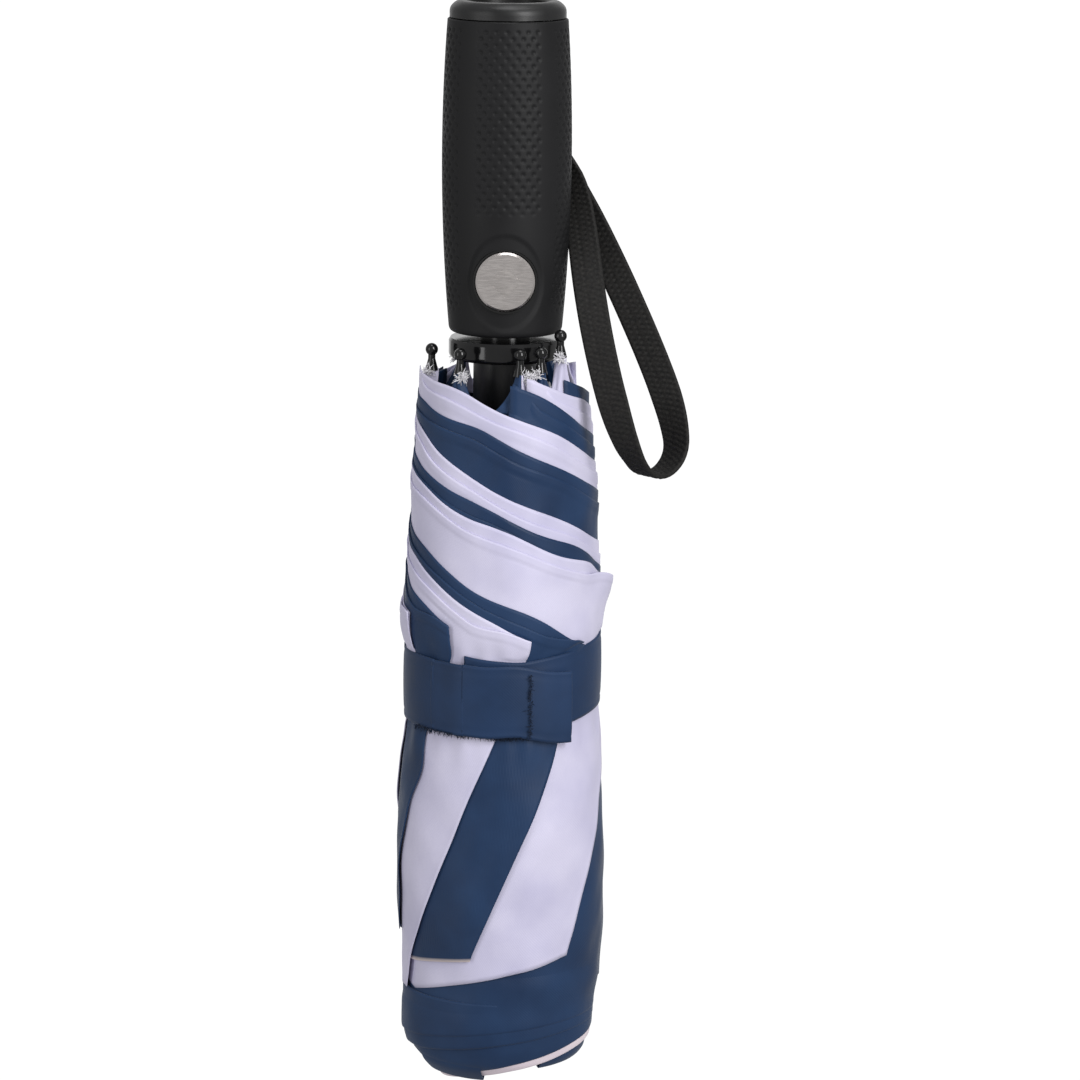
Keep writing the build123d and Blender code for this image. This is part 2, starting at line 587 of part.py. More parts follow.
# ---------------------------------------------------------------- canopy and its closing strap
with BuildPart() as canopy:
    with BuildSketch(Plane.XZ):
        with BuildLine():
            Polyline((CANOPY_CAVITY_R, CANOPY_TOP), (22.6, CANOPY_TOP))
            Spline((22.6, CANOPY_TOP), (23.3, -110), (24.8, -126), (25.9, -146), (26.9, -161),
                   (BAND_R - 0.1, BAND_TOP + 2))
            Polyline((BAND_R - 0.1, BAND_TOP + 2), (BAND_R - 0.1, BAND_BOTTOM - 2))
            Spline((BAND_R - 0.1, BAND_BOTTOM - 2), (26.9, -205), (28.0, -229), (27.5, -250),
                   (25.0, -269), (18.0, -280), (8.0, -284.0))
            Polyline((8.0, -284.0), (8.0, -281.0), (4.6, -281.0), (4.6, -271.2), (12.0, -271.2),
                     (CANOPY_CAVITY_R, -258.0), (CANOPY_CAVITY_R, CANOPY_TOP))
        make_face()
    revolve(axis=Axis.Z)
save(canopy, "canopy")


def ring_sector(inner, thickness, start_az, end_az, top, bottom, name):
    """Part of a band round the roll, from one azimuth to another towards +X."""
    with BuildPart() as part:
        with BuildSketch(standing_plane(start_az)):
            with Locations((inner + thickness / 2, (top + bottom) / 2)):
                Rectangle(thickness, top - bottom)
        revolve(axis=Axis.Z, revolution_arc=end_az - start_az)
    save(part, name)


UNDER_R = BAND_R + BAND_THICKNESS
TAB_R = UNDER_R + PATCH_THICKNESS + BODY_GAP
ring_sector(BAND_R, BAND_THICKNESS, TAB_START_AZ, TAB_START_AZ + 359, BAND_TOP, BAND_BOTTOM,
            "closure_strap")
ring_sector(UNDER_R, PATCH_THICKNESS, TAB_START_AZ + 12, TAB_END_AZ - 6, BAND_TOP - 2, BAND_BOTTOM + 2,
            "loop_patch")
ring_sector(TAB_R, PATCH_THICKNESS, TAB_START_AZ + 12, TAB_END_AZ - 6, BAND_TOP - 2, BAND_BOTTOM + 2,
            "hook_patch")
ring_sector(TAB_R + PATCH_THICKNESS, BAND_THICKNESS, TAB_START_AZ, TAB_END_AZ, BAND_TOP, BAND_BOTTOM,
            "closure_tab")

# ---------------------------------------------------------------- wrist strap
with BuildPart() as strap_eye:
    with BuildSketch(tangent_plane(STRAP_PIN_AZ, STRAP_PIN_R, STRAP_PIN_Z)):
        Circle(EYE_R)
        Circle(1.06, mode=Mode.SUBTRACT)
    extrude(amount=4.0, both=True)
save(strap_eye, "strap_eye")

radii = route_radii(STRAP_ROUTE)
print("wrist strap radii", [round(radius, 1) for radius in radii])
with BuildPart() as wrist_strap:
    with BuildLine():
        route = FilletPolyline(*STRAP_ROUTE, radius=radii)
    with BuildSketch(Plane(origin=route @ 0, z_dir=route % 0)):
        Circle(STRAP_CORD_R)
    sweep(path=route)
print("wrist strap length", round(route.length, 1), "volume", round(wrist_strap.part.volume, 1))
save(wrist_strap, "wrist_strap")
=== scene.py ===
"""Compact folding umbrella, rolled and strapped: cloth, rubber, webbing and finishes round the CAD frame.

Everything is in metres in the CAD's own frame: the origin is at the handle's end on the shaft axis,
+Z out of the handle and -Y the way the button faces. MM turns millimetres into metres.
"""
import bpy
import bmesh
import math
import numpy as np
from mathutils import Matrix, Vector


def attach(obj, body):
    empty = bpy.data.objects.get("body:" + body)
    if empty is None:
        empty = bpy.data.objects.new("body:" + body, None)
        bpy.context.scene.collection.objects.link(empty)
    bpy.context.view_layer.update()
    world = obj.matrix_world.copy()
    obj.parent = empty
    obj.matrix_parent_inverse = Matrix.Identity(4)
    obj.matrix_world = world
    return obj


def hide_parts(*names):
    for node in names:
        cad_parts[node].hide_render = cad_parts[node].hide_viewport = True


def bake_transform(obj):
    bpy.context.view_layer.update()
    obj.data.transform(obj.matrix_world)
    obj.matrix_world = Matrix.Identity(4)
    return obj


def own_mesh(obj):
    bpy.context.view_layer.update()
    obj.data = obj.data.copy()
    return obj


MM = 0.001
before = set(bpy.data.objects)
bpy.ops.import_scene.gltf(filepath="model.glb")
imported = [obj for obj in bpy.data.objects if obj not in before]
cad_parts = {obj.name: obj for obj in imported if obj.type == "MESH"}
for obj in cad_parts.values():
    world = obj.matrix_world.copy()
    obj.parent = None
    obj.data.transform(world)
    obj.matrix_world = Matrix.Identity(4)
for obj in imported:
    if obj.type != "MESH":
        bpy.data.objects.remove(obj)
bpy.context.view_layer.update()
rng = np.random.default_rng(7)

NAVY = (0.0125, 0.040, 0.108)
NAVY_DEEP = (0.0075, 0.026, 0.075)
LAVENDER = (0.66, 0.635, 0.80)
LAVENDER_DEEP = (0.55, 0.53, 0.71)
SELVEDGE = (0.86, 0.74, 0.72)


# ---------------------------------------------------------------- small helpers
def azimuth_point(azimuth, radius, z):
    """The point at an azimuth in degrees from the front (-Y), positive towards +X."""
    a = math.radians(azimuth)
    return Vector((radius * math.sin(a), -radius * math.cos(a), z))


def roll_points(theta, radius, z):
    """A grid of points in metres, from azimuths in degrees and radii and heights in mm."""
    t = np.radians(theta)
    return np.stack([radius * np.sin(t), -radius * np.cos(t), z], 2) * MM


def smooth(x, low, high):
    """0 below low, 1 above high and an eased step between; works on arrays."""
    t = np.clip((np.asarray(x, float) - low) / (high - low), 0, 1)
    return t * t * (3 - 2 * t)


def eased_profile(points, blur=2.5):
    """A function through a few (position, value) points, rounded at the corners."""
    xs, ys = zip(*sorted(points))
    taps = np.linspace(-blur, blur, 7)
    weights = np.cos(taps / blur * math.pi / 2.4)

    def value(x):
        x = np.asarray(x, float)
        total = sum(w * np.interp(x + d, xs, ys) for d, w in zip(taps, weights))
        return total / weights.sum()
    return value


def new_object(name, vertices, faces, uvs=None, material=None, shade_smooth=True):
    mesh = bpy.data.meshes.new(name)
    mesh.from_pydata([tuple(v) for v in vertices], [], faces)
    if uvs is not None:
        layer = mesh.uv_layers.new(name="UVMap")
        loops = np.empty(len(mesh.loops), dtype=np.int32)
        mesh.loops.foreach_get("vertex_index", loops)
        layer.data.foreach_set("uv", np.asarray(uvs, dtype=np.float32)[loops].ravel())
    mesh.polygons.foreach_set("use_smooth", [shade_smooth] * len(mesh.polygons))
    mesh.update()
    obj = bpy.data.objects.new(name, mesh)
    bpy.context.scene.collection.objects.link(obj)
    if material:
        mesh.materials.append(material)
    return obj


def grid_normals(points, closed=False):
    """Unit normals of an (n, m, 3) grid, closed along its first direction if asked."""
    if closed:
        along = np.roll(points, -1, axis=0) - np.roll(points, 1, axis=0)
    else:
        along = np.gradient(points, axis=0)
    across = np.gradient(points, axis=1)
    normal = np.cross(along, across)
    return normal / np.maximum(np.linalg.norm(normal, axis=2, keepdims=True), 1e-12)


def cloth_shell(name, points, thickness, uv, material, outward=1.0, closed=False):
    """A closed sheet of cloth from an (n, m, 3) grid of its outer face; thickness may vary over it."""
    rows, columns = points.shape[:2]
    normal = grid_normals(points, closed) * outward
    inner = points - normal * (np.asarray(thickness) * np.ones((rows, columns)))[..., None]
    vertices = np.concatenate([points.reshape(-1, 3), inner.reshape(-1, 3)])
    uvs = np.concatenate([uv.reshape(-1, 2), uv.reshape(-1, 2)])
    offset = rows * columns
    faces = []
    last = rows if closed else rows - 1
    for i in range(last):
        j_next = (i + 1) % rows
        for j in range(columns - 1):
            a, b = i * columns + j, j_next * columns + j
            quad = (a, b, b + 1, a + 1)
            faces.append(quad if outward > 0 else quad[::-1])
            inner_quad = tuple(offset + k for k in quad)
            faces.append(inner_quad[::-1] if outward > 0 else inner_quad)
    rim = []
    if not closed:
        rim += [(j, j + 1) for j in range(columns - 1)]
        rim += [((rows - 1) * columns + j + 1, (rows - 1) * columns + j) for j in range(columns - 1)]
    for i in range(last):
        j_next = (i + 1) % rows
        rim.append((j_next * columns, i * columns))
        rim.append((i * columns + columns - 1, j_next * columns + columns - 1))
    for a, b in rim:
        quad = (a, b, offset + b, offset + a)
        faces.append(quad if outward > 0 else quad[::-1])
    return new_object(name, vertices, faces, uvs, material)


def tube_along(points, radii, sides):
    """A round tube through the points, in one mesh, with its own radius at each."""
    points = [Vector(p) for p in points]
    vertices, faces = [], []
    reference = Vector((0, 0, 1))
    for i, point in enumerate(points):
        ahead = points[min(i + 1, len(points) - 1)] - points[max(i - 1, 0)]
        ahead.normalize()
        side = ahead.cross(reference)
        if side.length < 0.1:
            side = ahead.cross(Vector((0, 1, 0)))
        side.normalize()
        up = side.cross(ahead)
        for k in range(sides):
            angle = 2 * math.pi * k / sides
            vertices.append(point + (side * math.cos(angle) + up * math.sin(angle)) * radii[i])
    for i in range(len(points) - 1):
        for k in range(sides):
            a, b = i * sides + k, i * sides + (k + 1) % sides
            faces.append((a, b, b + sides, a + sides))
    faces.append(tuple(range(sides))[::-1])
    faces.append(tuple(range((len(points) - 1) * sides, len(points) * sides)))
    return vertices, faces


def join_parts(name, parts, material):
    """One object from several (vertices, faces) pairs."""
    vertices, faces = [], []
    for part_vertices, part_faces in parts:
        start = len(vertices)
        vertices += [tuple(v) for v in part_vertices]
        faces += [tuple(start + k for k in face) for face in part_faces]
    return new_object(name, vertices, faces, None, material)


# ---------------------------------------------------------------- materials
def node_material(name, base, roughness, metallic=0.0):
    """A material and its nodes, with the shader's plain numbers set on its sockets."""
    material = bpy.data.materials.new(name)
    material.use_nodes = True
    nodes, links = material.node_tree.nodes, material.node_tree.links
    shader = nodes["Principled BSDF"]
    shader.inputs["Base Color"].default_value = (*base, 1)
    shader.inputs["Roughness"].default_value = roughness
    shader.inputs["Metallic"].default_value = metallic
    return material, nodes, links, shader


def add_noise(nodes, links, scale, detail=3.0, stretch=(1, 1, 1), source="Object"):
    place = nodes.new("ShaderNodeTexCoord")
    mapping = nodes.new("ShaderNodeMapping")
    mapping.inputs["Scale"].default_value = stretch
    noise = nodes.new("ShaderNodeTexNoise")
    noise.inputs["Scale"].default_value = scale
    noise.inputs["Detail"].default_value = detail
    links.new(place.outputs[source], mapping.inputs["Vector"])
    links.new(mapping.outputs["Vector"], noise.inputs["Vector"])
    return noise.outputs["Fac"]


def ramp(nodes, links, value, stops):
    node = nodes.new("ShaderNodeValToRGB")
    links.new(value, node.inputs["Fac"])
    elements = node.color_ramp.elements
    for element, (position, colour) in zip(elements, stops):
        element.position = position
        element.color = (*colour, 1)
    for position, colour in stops[2:]:
        element = elements.new(position)
        element.color = (*colour, 1)
    return node.outputs["Color"]


def map_range(nodes, links, value, low, high, out_low, out_high):
    node = nodes.new("ShaderNodeMapRange")
    node.inputs["From Min"].default_value = low
    node.inputs["From Max"].default_value = high
    node.inputs["To Min"].default_value = out_low
    node.inputs["To Max"].default_value = out_high
    links.new(value, node.inputs["Value"])
    return node.outputs["Result"]


def mix_colour(nodes, links, factor, first, second):
    node = nodes.new("ShaderNodeMix")
    node.data_type = "RGBA"
    links.new(factor, node.inputs["Factor"])
    for socket, colour in (("A", first), ("B", second)):
        target = [s for s in node.inputs if s.name == socket and s.type == "RGBA"][0]
        if isinstance(colour, tuple):
            target.default_value = (*colour, 1)
        else:
            links.new(colour, target)
    return [s for s in node.outputs if s.type == "RGBA"][0]


def add_bump(nodes, links, shader, height, strength, distance, after=None):
    node = nodes.new("ShaderNodeBump")
    node.inputs["Strength"].default_value = strength
    node.inputs["Distance"].default_value = distance
    links.new(height, node.inputs["Height"])
    if after is not None:
        links.new(after, node.inputs["Normal"])
    links.new(node.outputs["Normal"], shader.inputs["Normal"])
    return node.outputs["Normal"]


def weave_height(nodes, links, threads_per_mm):
    """A plain weave's height from the UV map, which is in millimetres."""
    place = nodes.new("ShaderNodeUVMap")
    split = nodes.new("ShaderNodeSeparateXYZ")
    links.new(place.outputs["UV"], split.inputs["Vector"])
    waves = []
    for axis in ("X", "Y"):
        scaled = nodes.new("ShaderNodeMath")
        scaled.operation = "MULTIPLY"
        scaled.inputs[1].default_value = threads_per_mm * math.pi
        links.new(split.outputs[axis], scaled.inputs[0])
        wave = nodes.new("ShaderNodeMath")
        wave.operation = "SINE"
        links.new(scaled.outputs[0], wave.inputs[0])
        waves.append(wave.outputs[0])
    crossed = nodes.new("ShaderNodeMath")
    crossed.operation = "MULTIPLY"
    links.new(waves[0], crossed.inputs[0])
    links.new(waves[1], crossed.inputs[1])
    return crossed.outputs[0]


def cloth_material(name, light, deep, edge=None, edge_from=None):
    """Satin polyester: a fine weave, faint cloudy shade, soft sheen, and a paler cut edge if asked."""
    material, nodes, links, shader = node_material(name, light, 0.55)
    cloud = add_noise(nodes, links, 55, 3)
    weave = weave_height(nodes, links, 2.6)
    colour = ramp(nodes, links, cloud, [(0.30, deep), (0.62, light)])
    fine = add_noise(nodes, links, 2400, 2)
    speck = map_range(nodes, links, fine, 0.35, 0.65, 0.0, 0.16)
    colour = mix_colour(nodes, links, speck, colour, deep)
    if edge is not None:
        place = nodes.new("ShaderNodeUVMap")
        split = nodes.new("ShaderNodeSeparateXYZ")
        links.new(place.outputs["UV"], split.inputs["Vector"])
        at_edge = map_range(nodes, links, split.outputs["Y"], edge_from, edge_from + 0.12, 0.0, 1.0)
        colour = mix_colour(nodes, links, at_edge, colour, edge)
    links.new(colour, shader.inputs["Base Color"])
    rough = map_range(nodes, links, cloud, 0.3, 0.7, 0.48, 0.62)
    links.new(rough, shader.inputs["Roughness"])
    shader.inputs["Sheen Weight"].default_value = 0.08
    shader.inputs["Sheen Roughness"].default_value = 0.4
    shader.inputs["Specular IOR Level"].default_value = 0.3
    first = add_bump(nodes, links, shader, weave, 0.25, 0.00004)
    crease = add_noise(nodes, links, 130, 3, (1, 1, 0.45))
    add_bump(nodes, links, shader, crease, 0.22, 0.0006, first)
    return material


def plastic_material(name, base, roughness, grain=0.0):
    material, nodes, links, shader = node_material(name, base, roughness)
    wear = add_noise(nodes, links, 160, 4)
    rough = map_range(nodes, links, wear, 0.3, 0.7, roughness * 0.85, min(1.0, roughness * 1.25))
    links.new(rough, shader.inputs["Roughness"])
    if grain:
        fine = add_noise(nodes, links, 3500, 2)
        add_bump(nodes, links, shader, fine, grain, 0.00005)
    return material


def metal_material(name, base, roughness, stretch, grain=900, contrast=0.86):
    material, nodes, links, shader = node_material(name, base, roughness, 1.0)
    brush = add_noise(nodes, links, grain, 3, stretch)
    rough = map_range(nodes, links, brush, 0.3, 0.7, roughness * 0.75, roughness * 1.35)
    links.new(rough, shader.inputs["Roughness"])
    dark = tuple(c * contrast for c in base)
    links.new(ramp(nodes, links, brush, [(0.35, dark), (0.65, base)]), shader.inputs["Base Color"])
    add_bump(nodes, links, shader, brush, 0.12, 0.00003)
    return material


def rubber_material():
    material, nodes, links, shader = node_material("grip_rubber", (0.006, 0.006, 0.0068), 0.55)
    cloud = add_noise(nodes, links, 70, 4)
    colour = ramp(nodes, links, cloud, [(0.3, (0.0045, 0.0045, 0.0052)), (0.7, (0.0075, 0.0075, 0.0085))])
    links.new(colour, shader.inputs["Base Color"])
    links.new(map_range(nodes, links, cloud, 0.3, 0.7, 0.52, 0.66), shader.inputs["Roughness"])
    shader.inputs["Specular IOR Level"].default_value = 0.28
    fine = add_noise(nodes, links, 4200, 2)
    add_bump(nodes, links, shader, fine, 0.25, 0.00004)
    return material


def webbing_material():
    material, nodes, links, shader = node_material("webbing", (0.014, 0.014, 0.0145), 0.72)
    fibre = add_noise(nodes, links, 1500, 3)
    colour = ramp(nodes, links, fibre, [(0.3, (0.004, 0.004, 0.0042)), (0.75, (0.017, 0.0155, 0.014))])
    links.new(colour, shader.inputs["Base Color"])
    shader.inputs["Specular IOR Level"].default_value = 0.3
    add_bump(nodes, links, shader, fibre, 0.4, 0.0001)
    return material


def fuzz_material(name, base, tip, sheen):
    material, nodes, links, shader = node_material(name, base, 0.9)
    fuzz = add_noise(nodes, links, 2600, 4)
    links.new(ramp(nodes, links, fuzz, [(0.35, base), (0.7, tip)]), shader.inputs["Base Color"])
    shader.inputs["Sheen Weight"].default_value = sheen
    shader.inputs["Specular IOR Level"].default_value = 0.2
    add_bump(nodes, links, shader, fuzz, 0.9, 0.0003)
    return material


navy_cloth = cloth_material("navy_cloth", NAVY, NAVY_DEEP)
navy_edged_cloth = cloth_material("navy_edged_cloth", NAVY, NAVY_DEEP, SELVEDGE, 0.0)
lavender_cloth = cloth_material("lavender_cloth", LAVENDER, LAVENDER_DEEP)
CLOTHS = {"navy": navy_cloth, "lavender": lavender_cloth}
peach_cloth = cloth_material("selvedge_cloth", (0.84, 0.74, 0.78), (0.74, 0.64, 0.72))
strap_cloth = cloth_material("strap_cloth", (0.0115, 0.036, 0.100), (0.007, 0.024, 0.068))
hook_pile = fuzz_material("hook_pile", (0.002, 0.005, 0.014), (0.010, 0.022, 0.055), 0.05)
thread_white = fuzz_material("thread", (0.75, 0.73, 0.78), (0.9, 0.9, 0.92), 0.4)
grip_rubber = rubber_material()
gloss_black = plastic_material("gloss_black", (0.005, 0.005, 0.0055), 0.13)
satin_black = plastic_material("satin_black", (0.006, 0.006, 0.0065), 0.40, 0.1)
nickel = metal_material("nickel", (0.70, 0.655, 0.635), 0.26, (0.1, 1, 1), 4200, 0.93)
# A darker, rougher nickel for the arrows: the darker colour is painted shade, standing in for the light their
# shallow facets would turn away.
nickel_painted_arrow_shade = metal_material("nickel_painted_arrow_shade", (0.61, 0.57, 0.55), 0.32, (0.1, 1, 1), 4200, 0.96)
bezel_black = plastic_material("bezel_black", (0.003, 0.003, 0.003), 0.3)
steel = metal_material("steel", (0.58, 0.58, 0.59), 0.3, (1, 1, 0.05))
rib_steel = metal_material("rib_steel", (0.42, 0.43, 0.45), 0.38, (1, 1, 0.05))
rod_fibre = plastic_material("rod_fibre", (0.62, 0.63, 0.66), 0.28)
shaft_lacquer = plastic_material("shaft_lacquer", (0.006, 0.006, 0.0065), 0.2)
webbing = webbing_material()

NODE_MATERIALS = {
    gloss_black: ["runner_bell", "rib_tips"],
    bezel_black: ["button_bezel", "handle_core"],
    satin_black: ["handle_cap", "cap_disc", "latch_rocker", "tube_plug", "tube_outer_bush",
                  "tube_middle_bush", "tube_middle_guide", "tube_inner_guide", "crown", "crown_cap",
                  "runner", "elbow_joints"],
    nickel: ["button"],
    steel: ["cap_screw", "latch_pin", "tube_pin", "strap_pin", "button_spring", "opening_spring",
            "crown_wire", "runner_wire", "stretcher_rivets", "crown_washer"],
    rib_steel: ["top_ribs", "stretchers", "middle_ribs", "rib_hinges"],
    rod_fibre: ["outer_ribs"],
    shaft_lacquer: ["tube_outer", "tube_middle", "tube_inner"],
    webbing: ["strap_eye"],
}


def dress_nodes():
    """Gives each CAD node that stays its finish."""
    for material, names in NODE_MATERIALS.items():
        for name in names:
            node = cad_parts[name]
            for place in node.material_slots:
                place.material = material


# ---------------------------------------------------------------- handle grip
GRIP_ARC = [(15.6, -4.6), (16.85, -43.0), (14.9, -84.0)]
BUTTON_AZIMUTH, BUTTON_Z = 0.0, -71.0
DIMPLE_COLUMNS, DIMPLE_ROW, DIMPLE_R, DIMPLE_DEPTH = 36, 1.72, 0.60, 0.32


def arc_radius(points):
    """Radius against height on the circle through three (radius, height) points."""
    (r1, z1), (r2, z2), (r3, z3) = points
    system = np.array([[2 * (r2 - r1), 2 * (z2 - z1)], [2 * (r3 - r1), 2 * (z3 - z1)]])
    known = np.array([r2**2 - r1**2 + z2**2 - z1**2, r3**2 - r1**2 + z3**2 - z1**2])
    centre_r, centre_z = np.linalg.solve(system, known)
    bend = math.hypot(r1 - centre_r, z1 - centre_z)
    return lambda z: centre_r + np.sqrt(np.maximum(bend**2 - (np.asarray(z, float) - centre_z) ** 2, 0))


def dimple_field(theta, z, radius):
    """Depth of the staggered dimples, in mm, over the grid of azimuth (degrees) and height."""
    pitch = 360.0 / DIMPLE_COLUMNS
    depth = np.zeros_like(theta)
    row0 = np.round((-7.2 - z) / DIMPLE_ROW)
    for shift in (-1, 0, 1):
        row = row0 + shift
        stagger = np.where(np.mod(row, 2) == 0, 0.0, pitch / 2)
        column = np.round((theta - stagger) / pitch)
        dx = np.radians(theta - stagger - column * pitch) * radius
        dz = z + 7.2 + row * DIMPLE_ROW
        distance = np.sqrt(dx**2 + (dz * 1.1) ** 2)
        depth = np.maximum(depth, DIMPLE_DEPTH * (1 - smooth(distance, DIMPLE_R * 0.25, DIMPLE_R * 1.35)))
    off_front = np.abs((theta - 2 + 180) % 360 - 180)
    front = (1 - smooth(off_front, 30, 31.5)) * (1 - smooth(-z, 52.5, 54.5))
    sides = smooth(off_front, 48, 49.5) * (1 - smooth(-z, 78.0, 80.5))
    return depth * np.clip(front + sides, 0, 1) * smooth(-z, 6.3, 7.2)


def cut_with(obj, cutters):
    """Cuts the cutters out of obj, exactly, and removes them."""
    for cutter in cutters:
        modifier = obj.modifiers.new("cut", "BOOLEAN")
        modifier.operation = "DIFFERENCE"
        modifier.solver = "EXACT"
        modifier.object = cutter
    graph = bpy.context.evaluated_depsgraph_get()
    mesh = bpy.data.meshes.new_from_object(obj.evaluated_get(graph))
    obj.modifiers.clear()
    materials = list(obj.data.materials)
    obj.data = mesh
    mesh.materials.clear()
    for material in materials:
        mesh.materials.append(material)
    mesh.polygons.foreach_set("material_index", [0] * len(mesh.polygons))
    for cutter in cutters:
        bpy.data.objects.remove(cutter)
    return obj


def grip_sleeve():
    """The rubber sleeve with its dimples, the shallow dish round the button, its well and the strap pocket."""
    radius_at = arc_radius(GRIP_ARC)
    around, down = 324, 240
    outline_z = np.concatenate([[-4.6], np.linspace(-4.9, -84.6, down - 6),
                                [-85.1, -85.5, -85.8, -85.95, -86.0]])
    inset = np.concatenate([[0.3], np.zeros(down - 6), [0.12, 0.34, 0.68, 1.05, 1.5]])
    theta = np.linspace(-180, 180, around, endpoint=False)[:, None] * np.ones((1, down))
    z = np.ones((around, 1)) * outline_z[None, :]
    radius = radius_at(np.maximum(z, -84.6)) - inset[None, :]
    radius = radius - dimple_field(theta, z, radius)
    across = np.sin(np.radians(theta - BUTTON_AZIMUTH)) * radius
    dish = np.sqrt((across / 10.2) ** 2 + ((z - BUTTON_Z + 0.5) / 13.2) ** 2)
    dish = np.where(np.cos(np.radians(theta)) > 0, dish, 9)
    radius = radius - 0.42 * (1 - smooth(dish, 0.88, 1.0))
    outer = np.stack([radius * np.sin(np.radians(theta)), -radius * np.cos(np.radians(theta)), z], 2)
    core = radius_at(np.maximum(z, -84.6)) - 2.15
    core[:, -5:] = np.linspace(core[0, -6], 11.6, 5)[None, :]
    inner = np.stack([core * np.sin(np.radians(theta)), -core * np.cos(np.radians(theta)), z], 2)
    vertices = np.concatenate([outer.reshape(-1, 3), inner.reshape(-1, 3)]) * MM
    offset, faces = around * down, []
    for i in range(around):
        k = (i + 1) % around
        for j in range(down - 1):
            a, b = i * down + j, k * down + j
            faces.append((a, a + 1, b + 1, b))
            faces.append((offset + a, offset + b, offset + b + 1, offset + a + 1))
        a, b = i * down, k * down
        faces.append((a, b, offset + b, offset + a))
        a, b = i * down + down - 1, k * down + down - 1
        faces.append((b, a, offset + a, offset + b))
    grip = new_object("grip", vertices, faces, None, grip_rubber)
    bpy.ops.mesh.primitive_cylinder_add(vertices=96, radius=8.4 * MM, depth=12 * MM,
                                        location=(0, -16 * MM, BUTTON_Z * MM),
                                        rotation=(math.pi / 2, 0, 0))
    well = bpy.context.object
    pocket_z = (-27.5 - 45.0) / 2
    bpy.ops.mesh.primitive_cube_add(size=1, location=azimuth_point(135, 16 * MM, pocket_z * MM),
                                    rotation=(0, 0, math.radians(45)))
    pocket = bpy.context.object
    pocket.scale = (9 * MM, 11 * MM, 17.5 * MM)
    rounding = pocket.modifiers.new("round", "BEVEL")
    rounding.width, rounding.segments = 1.6 * MM, 4
    bpy.context.view_layer.update()
    cut_with(grip, [well, pocket])
    grip.data.polygons.foreach_set("use_smooth", [True] * len(grip.data.polygons))
    grip.data.set_sharp_from_angle(angle=math.radians(42))
    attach(grip, "handle")
    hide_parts("grip_sleeve")


def button_coil():
    """The button's return spring."""
    turns, coil_r, foot_y, height = 3.4, 3.6, -10.66, 4.2
    points = []
    for k in range(int(turns * 36) + 1):
        angle = 2 * math.pi * k / 36
        points.append(Vector((coil_r * math.cos(angle), foot_y - height * k / (turns * 36),
                              BUTTON_Z + coil_r * math.sin(angle))) * MM)
    vertices, faces = tube_along(points, [0.3 * MM] * len(points), 10)
    coil = new_object("button_coil", vertices, faces, None, steel)
    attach(coil, "handle")
    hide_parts("button_spring")
    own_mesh(coil)


def button_arrows():
    """Two low pyramids back to back on the button, up and down."""
    parts, face_y = [], -16.5 + 0.03
    for side in (1, -1):
        base = [(-3.7, side * 0.55), (3.7, side * 0.55), (0.0, side * 4.0)]
        rim = [Vector((x, face_y, BUTTON_Z + z)) * MM for x, z in base]
        back = [Vector((x, face_y + 0.1, BUTTON_Z + z)) * MM for x, z in base]
        peak = Vector((0.0, face_y - 0.05, BUTTON_Z + side * 1.5)) * MM
        faces = [(0, 1, 3), (1, 2, 3), (2, 0, 3), (0, 4, 5, 1), (1, 5, 6, 2), (2, 6, 4, 0), (4, 6, 5)]
        parts.append((rim + [peak] + back, faces if side > 0 else [face[::-1] for face in faces]))
    # The arrows take the darker nickel, which is painted shade on their facets.
    arrows = join_parts("button_arrows", parts, nickel_painted_arrow_shade)
    arrows.data.polygons.foreach_set("use_smooth", [False] * len(arrows.data.polygons))
    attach(arrows, "button")


# ---------------------------------------------------------------- rolled canopy
ROLL_IN = 22.5                # radius of the roll's first turn, over the rods
ROLL_GROWTH = 4.3             # how much thicker the roll gets in one turn near its top
CLOTH = 0.24                  # thickness of one leaf of cloth, mm
roll_out = eased_profile([(-90, 26.4), (-150, 26.4), (-158, 26.9), (-164, 26.8), (-169.5, 25.6),
                          (-188.5, 25.6), (-193, 26.2), (-206, 27.6), (-218, 28.5), (-230, 28.8),
                          (-246, 28.5), (-262, 27.6), (-272, 26.4), (-290, 24.0)])

BAND_Z, BAND_HALF, BAND_R = -179.5, 9.5, 26.05
TAB_ROOT = -25.0              # azimuth where the tab hinges off the strap
# How far the closing strap's under layer rides above its mean height, round the roll.
strap_height = eased_profile([(-25, 2.6), (-10, 1.6), (12, 0.4), (30, 1.6), (60, 3.6), (90, 4.2), (150, 3.4),
                              (230, 1.0), (290, 0.0), (345, 0.0)], 8)

